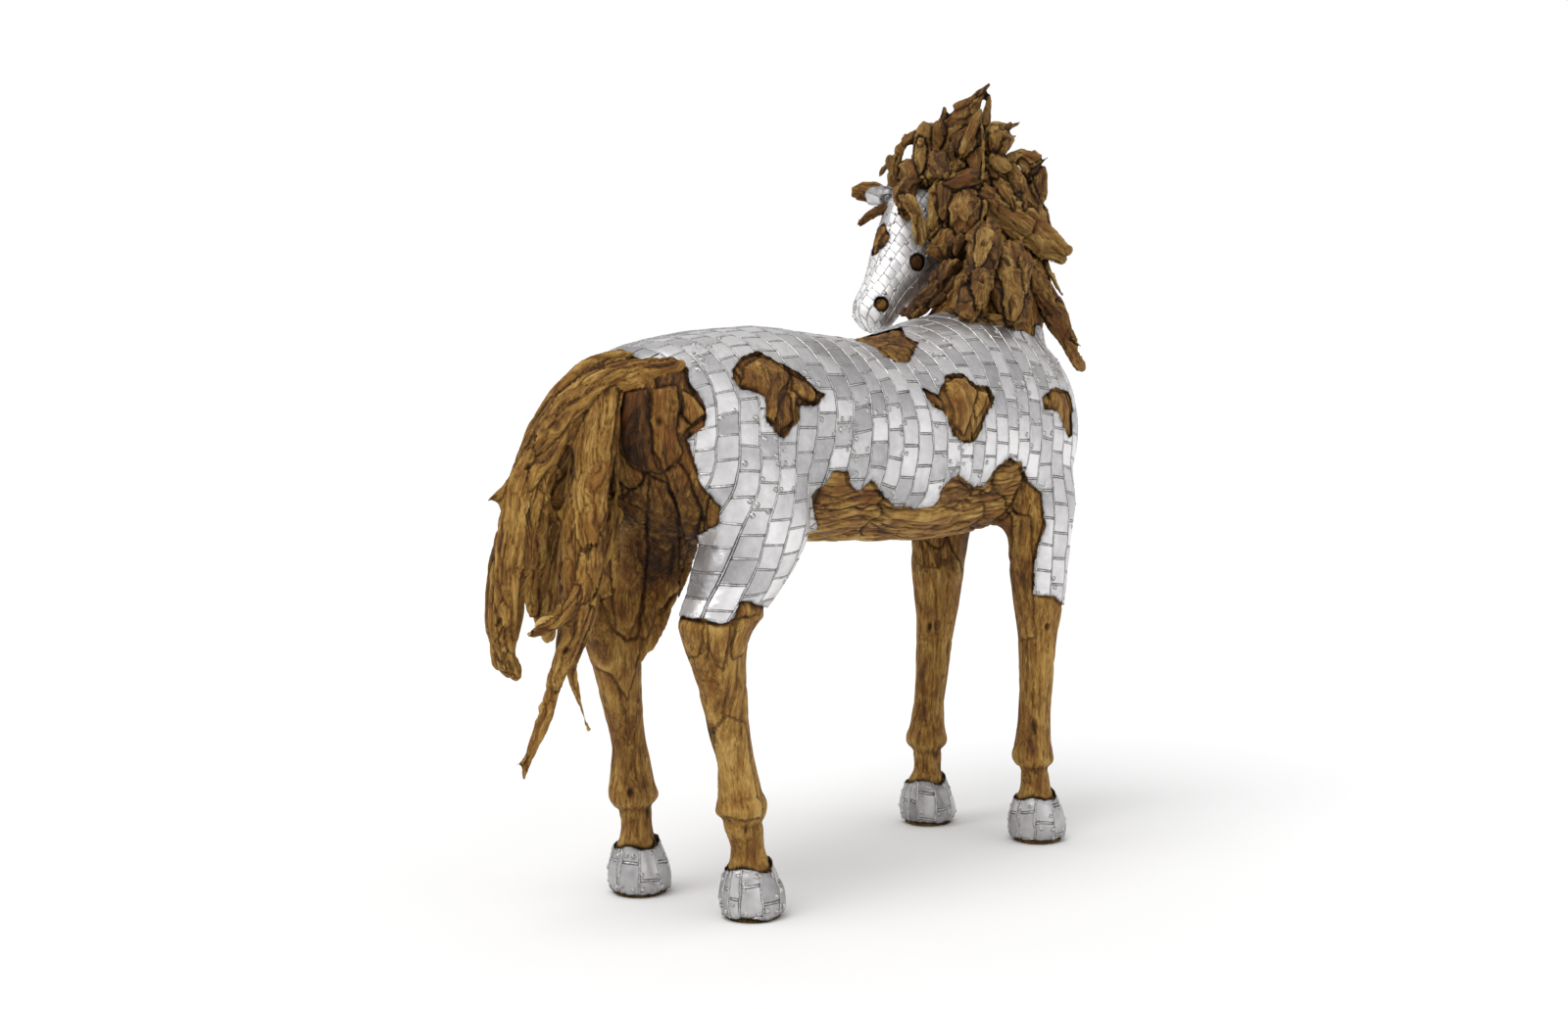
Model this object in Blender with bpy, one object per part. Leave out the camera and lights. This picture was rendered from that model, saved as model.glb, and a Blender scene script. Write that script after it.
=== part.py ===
# A life-size standing horse with its head turned back, built up of root wood and partly
# covered with welded sheet-metal plates. Metres, +Z up, the horse faces +X, its left is +Y.
import bpy
import bmesh
import math
import numpy as np
from mathutils import Vector
from mathutils.bvhtree import BVHTree

for old in list(bpy.data.objects):
    bpy.data.objects.remove(old, do_unlink=True)

# Named sizes, in metres.
GAP = 0.0006            # clear space between touching pieces
SKIN_UNDER = 0.0006     # from the wood to the metal sheet
SKIN = 0.003            # thickness of the metal sheet
VOXEL = 0.011           # fineness of the blend between body, neck, head and legs
BODY_TRIANGLES = 1600
SOLE_RIM = 0.016        # bare wooden sole under the hoof metal
SOLE = -0.012           # height of the soles in the numbers below; the horse is then set down

# Barrel of the body: place along the horse, top, underside, half width.
BARREL = [
    (-0.900, 1.350, 1.120, 0.060), (-0.860, 1.405, 1.050, 0.130), (-0.780, 1.436, 0.990, 0.205),
    (-0.680, 1.455, 0.950, 0.255), (-0.550, 1.474, 0.930, 0.283), (-0.400, 1.484, 0.925, 0.287),
    (-0.250, 1.475, 0.920, 0.280), (-0.100, 1.460, 0.910, 0.285), (0.050, 1.452, 0.900, 0.290),
    (0.200, 1.483, 0.890, 0.285), (0.350, 1.522, 0.890, 0.275), (0.480, 1.525, 0.900, 0.265),
    (0.600, 1.505, 0.925, 0.262), (0.700, 1.475, 0.950, 0.248), (0.775, 1.410, 0.975, 0.200),
    (0.830, 1.310, 1.020, 0.135), (0.858, 1.210, 1.090, 0.060),
]
# Legs: height, fore-and-aft centre, sideways centre, half length, half width.
HIND = [
    (1.300, -0.600, 0.140, 0.180, 0.120), (1.150, -0.590, 0.170, 0.185, 0.132),
    (1.060, -0.580, 0.190, 0.172, 0.128), (0.980, -0.575, 0.208, 0.151, 0.118),
    (0.900, -0.605, 0.205, 0.148, 0.113), (0.820, -0.650, 0.202, 0.125, 0.097),
    (0.755, -0.702, 0.198, 0.109, 0.084), (0.668, -0.697, 0.195, 0.080, 0.066),
    (0.585, -0.679, 0.195, 0.067, 0.058), (0.496, -0.660, 0.195, 0.058, 0.051),
    (0.414, -0.637, 0.195, 0.051, 0.045), (0.329, -0.620, 0.195, 0.057, 0.050),
    (0.270, -0.611, 0.195, 0.066, 0.058), (0.235, -0.610, 0.195, 0.065, 0.056),
    (0.195, -0.598, 0.195, 0.047, 0.043), (0.140, -0.585, 0.195, 0.048, 0.044),
]
FORE = [
    (1.150, 0.600, 0.140, 0.150, 0.110), (1.000, 0.615, 0.170, 0.135, 0.105),
    (0.908, 0.608, 0.188, 0.106, 0.089), (0.769, 0.605, 0.192, 0.088, 0.076),
    (0.676, 0.610, 0.192, 0.078, 0.068), (0.587, 0.605, 0.192, 0.062, 0.055),
    (0.507, 0.603, 0.192, 0.058, 0.051), (0.372, 0.594, 0.192, 0.050, 0.046),
    (0.282, 0.590, 0.192, 0.058, 0.052), (0.230, 0.588, 0.192, 0.063, 0.057),
    (0.185, 0.598, 0.192, 0.045, 0.042), (0.130, 0.602, 0.192, 0.044, 0.042),
]
# Hoof: height, half length, half width.
HOOF = [(0.130, 0.050, 0.046), (0.118, 0.066, 0.062), (0.070, 0.073, 0.069),
        (0.020, 0.078, 0.074), (-0.045, 0.079, 0.075)]
# How far each leg stands from the average leg (fore-and-aft at hip height and at the sole).
LEG_SHIFT = {"right_hind": (0.0, 0.0), "left_hind": (0.015, -0.035),
             "right_fore": (0.0, 0.0), "left_fore": (0.015, -0.045)}
# Neck: centre, half depth (in the plane of the bend), half width.
NECK = [
    ((0.500, 0.000, 1.260), 0.250, 0.200), ((0.580, 0.005, 1.400), 0.225, 0.165),
    ((0.660, 0.030, 1.540), 0.180, 0.130), ((0.710, 0.080, 1.670), 0.150, 0.110),
    ((0.710, 0.145, 1.785), 0.130, 0.098), ((0.660, 0.205, 1.865), 0.115, 0.092),
    ((0.600, 0.240, 1.900), 0.095, 0.085),
]
# Head: forehead line and jaw line (fore-and-aft, height), half width, from poll to muzzle.
HEAD_Y = 0.250
HEAD = [
    ((0.575, 1.950), (0.660, 1.900), 0.050), ((0.520, 1.925), (0.685, 1.830), 0.072),
    ((0.468, 1.860), (0.675, 1.730), 0.084), ((0.430, 1.770), (0.630, 1.640), 0.090),
    ((0.400, 1.690), (0.565, 1.590), 0.080), ((0.358, 1.620), (0.485, 1.545), 0.063),
    ((0.322, 1.572), (0.435, 1.505), 0.060), ((0.318, 1.530), (0.405, 1.478), 0.055),
    ((0.342, 1.495), (0.385, 1.478), 0.032),
]


def ring(centre, along, across, sides, power=2.0):
    pts = []
    for i in range(sides):
        t = 2 * math.pi * i / sides
        c, s = math.cos(t), math.sin(t)
        a = math.copysign(abs(c) ** (2.0 / power), c)
        b = math.copysign(abs(s) ** (2.0 / power), s)
        pts.append(Vector(centre) + Vector(along) * a + Vector(across) * b)
    return pts


def loft(bm, rings):
    """Closed skin through the rings, with a point at the middle of each end."""
    sides = len(rings[0])
    grid = [[bm.verts.new(p) for p in r] for r in rings]
    ends = [bm.verts.new(sum(r, Vector()) / sides) for r in (rings[0], rings[-1])]
    made = []
    for r in range(len(grid) - 1):
        for i in range(sides):
            j = (i + 1) % sides
            made.append(bm.faces.new((grid[r][i], grid[r][j], grid[r + 1][j], grid[r + 1][i])))
    for i in range(sides):
        j = (i + 1) % sides
        made.append(bm.faces.new((ends[0], grid[0][j], grid[0][i])))
        made.append(bm.faces.new((ends[1], grid[-1][i], grid[-1][j])))
    bmesh.ops.recalc_face_normals(bm, faces=made)
    return made


def smooth_rows(rows, steps):
    """Rows of numbers resampled by a Catmull-Rom curve, so that a loft has no kinks."""
    rows = [np.array(r, float) for r in rows]
    out = []
    for i in range(len(rows) - 1):
        a, b = rows[max(i - 1, 0)], rows[i]
        c, d = rows[i + 1], rows[min(i + 2, len(rows) - 1)]
        for k in range(steps):
            t = k / steps
            out.append(0.5 * (2 * b + (c - a) * t + (2 * a - 5 * b + 4 * c - d) * t ** 2
                              + (3 * b - a - 3 * c + d) * t ** 3))
    out.append(rows[-1])
    return out


def barrel_rings():
    for x, top, low, half in smooth_rows(BARREL, 2):
        wide = low + 0.47 * (top - low)
        pts = []
        for i in range(36):
            t = 2 * math.pi * i / 36
            c, s = math.cos(t), math.sin(t)
            power = 2.3
            if s > 0:
                power = 2.15 + 0.6 * min(max((-0.3 - x) / 0.4, 0.0), 1.0)
            reach = (top - wide) if s > 0 else (wide - low)
            pts.append(Vector((x, half * math.copysign(abs(c) ** (2 / power), c),
                               wide + reach * math.copysign(abs(s) ** (2 / power), s))))
        yield pts


def leg_rings(rows, side, shift):
    hip, sole = shift
    for z, x, y, a, b in smooth_rows(rows, 2):
        w = min(max(z / 0.9, 0.0), 1.0)
        yield ring((x + hip * w + sole * (1 - w), side * y, z), (a, 0, 0), (0, side * b, 0), 20)


def hoof_rings(rows, side, shift):
    x = rows[-1][1] + shift[1]
    y = rows[-1][2]
    for z, a, b in HOOF:
        lean = 0.10 * (0.13 - z)
        yield ring((x + lean, side * y, z), (a, 0, 0), (0, side * b, 0), 24, 2.3)


def neck_rings():
    rows = [(*c, a, b) for c, a, b in NECK]
    rows = smooth_rows(rows, 2)
    mid = [Vector(r[:3]) for r in rows]
    for i, r in enumerate(rows):
        way = (mid[min(i + 1, len(mid) - 1)] - mid[max(i - 1, 0)]).normalized()
        side = Vector((0, 1, 0)) - way * way.y
        side.normalize()
        deep = way.cross(side)
        yield ring(mid[i], deep * float(r[3]), side * float(r[4]), 24, 2.1)


def head_rings():
    rows = [(f[0], f[1], j[0], j[1], w) for f, j, w in HEAD]
    for fx, fz, jx, jz, w in smooth_rows(rows, 3):
        mid = Vector(((fx + jx) / 2, HEAD_Y, (fz + jz) / 2))
        yield ring(mid, (float(fx - jx) / 2, 0, float(fz - jz) / 2), (0, float(w), 0), 20, 2.3)


def solid_object(name, bm, slot):
    mesh = bpy.data.meshes.new(name)
    bm.normal_update()
    bm.to_mesh(mesh)
    bm.free()
    obj = bpy.data.objects.new(name, mesh)
    bpy.context.scene.collection.objects.link(obj)
    if slot:
        mesh.materials.append(MATERIALS[slot])
    return obj


def through(obj, *mods):
    """The object's mesh after the given modifiers, as a fresh bmesh; the object goes."""
    for kind, values in mods:
        m = obj.modifiers.new(kind, kind)
        for k, v in values.items():
            setattr(m, k, v)
    deps = bpy.context.evaluated_depsgraph_get()
    deps.update()
    mesh = bpy.data.meshes.new_from_object(obj.evaluated_get(deps))
    bm = bmesh.new()
    bm.from_mesh(mesh)
    bpy.data.objects.remove(obj, do_unlink=True)
    bpy.data.meshes.remove(mesh)
    return bm


def material(name, colour, metallic, rough):
    m = bpy.data.materials.new(name)
    m.use_nodes = True
    p = m.node_tree.nodes["Principled BSDF"]
    p.inputs["Base Color"].default_value = (*colour, 1)
    p.inputs["Metallic"].default_value = metallic
    p.inputs["Roughness"].default_value = rough
    return m


MATERIALS = {
    "root_wood": material("root_wood", (0.36, 0.20, 0.07), 0.0, 0.45),
    "mane_wood": material("mane_wood", (0.27, 0.15, 0.06), 0.0, 0.50),
    "plate_metal": material("plate_metal", (0.80, 0.80, 0.82), 1.0, 0.25),
}


def make_body():
    bm = bmesh.new()
    loft(bm, list(barrel_rings()))
    loft(bm, list(neck_rings()))
    loft(bm, list(head_rings()))
    for name, shift in LEG_SHIFT.items():
        side = -1 if name.startswith("right") else 1
        rows = HIND if name.endswith("hind") else FORE
        loft(bm, list(leg_rings(rows, side, shift)))
        loft(bm, list(hoof_rings(rows, side, shift)))
    raw = solid_object("raw", bm, None)
    bm = through(raw, ("REMESH", dict(mode="VOXEL", voxel_size=VOXEL)),
                 ("SMOOTH", dict(factor=0.5, iterations=5)))
    bmesh.ops.triangulate(bm, faces=bm.faces[:])
    fine = solid_object("fine", bm, None)
    ratio = BODY_TRIANGLES / len(fine.data.polygons)
    bm = through(fine, ("DECIMATE", dict(ratio=ratio)))
    cut = bmesh.ops.bisect_plane(bm, geom=bm.verts[:] + bm.edges[:] + bm.faces[:],
                                 plane_co=(0, 0, SOLE), plane_no=(0, 0, -1), clear_outer=True)
    rim = [e for e in cut["geom_cut"] if isinstance(e, bmesh.types.BMEdge)]
    bmesh.ops.holes_fill(bm, edges=rim, sides=0)
    bmesh.ops.triangulate(bm, faces=bm.faces[:])
    return bm


# Edges of the metal cladding on a chart of the body's side: reach = 0.70 x + 0.71 |y|, and height.
RIGHT_EDGE = [
    (-0.60, 1.60), (-0.58, 1.42), (-0.51, 1.39), (-0.43, 1.395), (-0.413, 1.35), (-0.372, 1.28),
    (-0.375, 1.24), (-0.42, 1.21), (-0.40, 1.15), (-0.375, 1.085), (-0.337, 1.045), (-0.34, 1.00),
    (-0.395, 0.965), (-0.405, 0.91), (-0.45, 0.775), (-0.384, 0.773), (-0.336, 0.760),
    (-0.303, 0.778), (-0.298, 0.814), (-0.27, 0.815), (-0.23, 0.79), (-0.16, 0.80), (-0.11, 0.88),
    (-0.10, 0.98), (-0.125, 1.06), (-0.088, 1.085), (-0.063, 1.122), (-0.022, 1.115),
    (-0.018, 1.085), (0.008, 1.062), (0.042, 1.09), (0.078, 1.045), (0.107, 1.017),
    (0.182, 1.006), (0.224, 1.012), (0.241, 1.053), (0.263, 1.088), (0.29, 1.088),
    (0.314, 1.064), (0.37, 1.05), (0.40, 1.10), (0.447, 1.128), (0.483, 1.108), (0.509, 1.058),
    (0.555, 1.02), (0.567, 0.93), (0.541, 0.83), (0.54, 0.725), (0.60, 0.715), (0.635, 0.68),
    (0.80, 0.68), (0.80, 1.47), (0.56, 1.49), (0.51, 1.50), (0.45, 1.48), (0.40, 1.485),
    (0.33, 1.505), (0.26, 1.535), (0.22, 1.60),
]
LEFT_EDGE = [
    (-0.60, 1.60), (-0.57, 1.42), (-0.49, 1.40), (-0.42, 1.37), (-0.37, 1.28), (-0.39, 1.19),
    (-0.33, 1.10), (-0.30, 1.00), (-0.33, 0.90), (-0.36, 0.79), (-0.33, 0.765), (-0.29, 0.80),
    (-0.24, 0.775), (-0.16, 0.80), (-0.10, 0.90), (-0.12, 1.04), (-0.05, 1.10), (0.04, 1.05),
    (0.12, 1.02), (0.20, 1.05), (0.27, 1.10), (0.35, 1.06), (0.43, 1.12), (0.50, 1.06),
    (0.55, 0.98), (0.55, 0.80), (0.56, 0.71), (0.80, 0.69), (0.80, 1.44), (0.52, 1.44),
    (0.36, 1.46), (0.27, 1.53), (0.22, 1.60),
]
# Bare wood showing through the cladding.
RIGHT_HOLES = [
    [(-0.316, 1.375), (-0.283, 1.41), (-0.25, 1.42), (-0.215, 1.40), (-0.168, 1.375),
     (-0.124, 1.345), (-0.085, 1.31), (-0.10, 1.285), (-0.149, 1.287), (-0.148, 1.25),
     (-0.19, 1.205), (-0.232, 1.25), (-0.234, 1.31), (-0.296, 1.33)],
    [(0.177, 1.33), (0.23, 1.302), (0.254, 1.357), (0.30, 1.359), (0.338, 1.331), (0.385, 1.32),
     (0.397, 1.295), (0.36, 1.22), (0.332, 1.178), (0.306, 1.174), (0.268, 1.196), (0.243, 1.262),
     (0.212, 1.27)],
    [(0.55, 1.29), (0.592, 1.315), (0.64, 1.308), (0.658, 1.25), (0.655, 1.18), (0.638, 1.17),
     (0.60, 1.25), (0.56, 1.258)],
    [(0.00, 1.60), (0.008, 1.448), (0.067, 1.425), (0.086, 1.403), (0.121, 1.390),
     (0.152, 1.387), (0.170, 1.412), (0.188, 1.442), (0.155, 1.465), (0.145, 1.60)],
]
LEFT_HOLES = [
    [(-0.31, 1.33), (-0.25, 1.385), (-0.16, 1.37), (-0.11, 1.31), (-0.15, 1.24), (-0.23, 1.20),
     (-0.27, 1.26)],
    [(0.20, 1.29), (0.26, 1.35), (0.35, 1.33), (0.39, 1.26), (0.34, 1.17), (0.26, 1.18)],
    [(0.00, 1.60), (0.01, 1.45), (0.05, 1.425), (0.11, 1.415), (0.15, 1.45), (0.145, 1.60)],
]
INNER_EDGE = 0.165      # the cladding stops here on the inner side of a leg
EYE = ((0.479, 0.082, 1.687), 0.028)        # place, with the distance from the head's middle
NOSTRIL = ((0.355, 0.053, 1.563), 0.024)
BROW_PATCH = ((0.440, 0.262, 1.762), (0.05, 0.034, 0.052))
HOOF_TOP = 0.128        # top edge of the hoof metal above the sole


def edge_distance(u, v, outline):
    """Distance to a closed outline on the chart, positive inside it."""
    best = np.full(u.shape, 1e9)
    inside = np.zeros(u.shape, bool)
    for (ax, ay), (bx, by) in zip(outline, outline[1:] + outline[:1]):
        dx, dy = bx - ax, by - ay
        t = np.clip(((u - ax) * dx + (v - ay) * dy) / (dx * dx + dy * dy), 0, 1)
        best = np.minimum(best, np.hypot(u - ax - t * dx, v - ay - t * dy))
        if ay != by:
            cross = ((ay > v) != (by > v)) & (u < (bx - ax) * (v - ay) / (by - ay) + ax)
            inside ^= cross
    return np.where(inside, best, -best)


def body_cover(p):
    u = 0.70 * p[:, 0] + 0.71 * abs(p[:, 1])
    v = p[:, 2]
    out = []
    for edge, holes in ((RIGHT_EDGE, RIGHT_HOLES), (LEFT_EDGE, LEFT_HOLES)):
        f = edge_distance(u, v, edge)
        for hole in holes:
            f = np.minimum(f, -edge_distance(u, v, hole))
        out.append(f)
    f = np.where(p[:, 1] < 0, out[0], out[1])
    return np.minimum(f, abs(p[:, 1]) - INNER_EDGE + 3 * np.maximum(v - 0.96, 0))


def head_cover(p):
    x, y, z = p[:, 0], abs(p[:, 1] - HEAD_Y), p[:, 2]
    cheek = 0.585 + 0.25 * (z - 1.60) - 0.5 * np.maximum(z - 1.80, 0)
    f = np.minimum(cheek - x, 1.905 - z)
    f = np.minimum(f, z - 1.468)
    f = np.minimum(f, p[:, 1] - 0.12 - 0.25 * np.maximum(x - 0.48, 0)
                   - 0.50 * np.maximum(1.60 - z, 0))
    for (cx, cy, cz), size in (EYE, NOSTRIL):
        f = np.minimum(f, np.sqrt((x - cx) ** 2 + (y - cy) ** 2 + (z - cz) ** 2) - size)
    (cx, cy, cz), (ax, ay, az) = BROW_PATCH
    d = np.sqrt(((x - cx) / ax) ** 2 + ((p[:, 1] - cy) / ay) ** 2 + ((z - cz) / az) ** 2)
    return np.minimum(f, (d - 1) * min(ax, ay))


def split_for_cover(bm, cover, slack, shortest=0.03):
    """Halve the edges along which the cladding's edge is not close to straight."""
    a = np.array([e.verts[0].co[:] for e in bm.edges])
    b = np.array([e.verts[1].co[:] for e in bm.edges])
    fa, fb = cover(a), cover(b)
    wrong = np.zeros(len(a), bool)
    for t in (0.25, 0.5, 0.75):
        real, straight = cover(a + (b - a) * t), fa + (fb - fa) * t
        wrong |= ((real > 0) != (straight > 0)) & (abs(real - straight) > slack)
    wrong &= np.linalg.norm(b - a, axis=1) > shortest
    long = [e for e, w in zip(bm.edges, wrong) if w]
    bmesh.ops.subdivide_edges(bm, edges=long, cuts=1)
    bmesh.ops.triangulate(bm, faces=bm.faces[:])


def hoof_cover(p, centre):
    turn = np.arctan2(p[:, 1] - centre[1], p[:, 0] - centre[0])
    top = HOOF_TOP - 0.022 * np.maximum(np.cos(turn), 0) ** 2
    z = p[:, 2] - SOLE
    f = np.minimum(top - z, z - SOLE_RIM)
    return np.minimum(f, 0.14 - np.hypot(p[:, 0] - centre[0], p[:, 1] - centre[1]))


def sheet_over(source, cover, name, slot="plate_metal", under=SKIN_UNDER, thick=SKIN):
    """A thin closed sheet over the part of a mesh where cover(points) is positive."""
    mesh = source.data
    p = np.array([v.co[:] for v in mesh.vertices])
    n = np.array([v.normal[:] for v in mesh.vertices])
    f = cover(p)
    f = np.where(f >= 0, 1, -1) * np.maximum(abs(f), 0.0015)
    spots, where = [], {}

    def spot(i, j=None):
        key = (i, i) if j is None else (min(i, j), max(i, j))
        if key not in where:
            a, b = key
            t = 0.0 if a == b else f[a] / (f[a] - f[b])
            where[key] = len(spots)
            spots.append((p[a] + (p[b] - p[a]) * t, n[a] + (n[b] - n[a]) * t))
        return where[key]

    faces = []
    for poly in mesh.polygons:
        ids = list(poly.vertices)
        loop = []
        for a, b in zip(ids, ids[1:] + ids[:1]):
            if f[a] > 0:
                loop.append(spot(a))
            if (f[a] > 0) != (f[b] > 0):
                loop.append(spot(a, b))
        if len(loop) > 2:
            faces.append(loop)
    # only the largest patch is kept
    owner = {}
    for k, loop in enumerate(faces):
        for a, b in zip(loop, loop[1:] + loop[:1]):
            owner.setdefault((min(a, b), max(a, b)), []).append(k)
    joined = {k: [] for k in range(len(faces))}
    for ks in owner.values():
        if len(ks) == 2:
            joined[ks[0]].append(ks[1])
            joined[ks[1]].append(ks[0])
    left, patches = set(joined), []
    while left:
        todo = [left.pop()]
        patch = list(todo)
        while todo:
            for k in joined[todo.pop()]:
                if k in left:
                    left.remove(k)
                    todo.append(k)
                    patch.append(k)
        patches.append(patch)
    keep = [faces[k] for k in sorted(max(patches, key=len))]
    used = sorted({i for loop in keep for i in loop})
    bm = bmesh.new()
    low = {i: bm.verts.new(spots[i][0] + spots[i][1] * under) for i in used}
    high = {i: bm.verts.new(spots[i][0] + spots[i][1] * (under + thick)) for i in used}
    edges = {}
    for loop in keep:
        bm.faces.new([high[i] for i in loop])
        bm.faces.new([low[i] for i in reversed(loop)])
        for a, b in zip(loop, loop[1:] + loop[:1]):
            edges[(a, b)] = 1
    for a, b in edges:
        if (b, a) not in edges:
            bm.faces.new((high[b], high[a], low[a], low[b]))
    bmesh.ops.triangulate(bm, faces=bm.faces[:])
    return solid_object(name, bm, slot)


body_bm = make_body()
split_for_cover(body_bm, body_cover, 0.014)
split_for_cover(body_bm, head_cover, 0.011)
hoof_places = {}
for leg, leg_shift in LEG_SHIFT.items():
    rows = HIND if leg.endswith("hind") else FORE
    side = -1 if leg.startswith("right") else 1
    hoof_places[leg] = (rows[-1][1] + leg_shift[1], side * rows[-1][2])
    split_for_cover(body_bm, lambda p: hoof_cover(p, hoof_places[leg]), 0.006)
body = solid_object("body", body_bm, "root_wood")
body_cladding = sheet_over(body, body_cover, "body_cladding")
head_cladding = sheet_over(body, head_cover, "head_cladding")
claddings = [body_cladding, head_cladding]
for leg, place in hoof_places.items():
    claddings.append(sheet_over(body, lambda p: hoof_cover(p, place), "hoof_cladding_" + leg))


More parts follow.
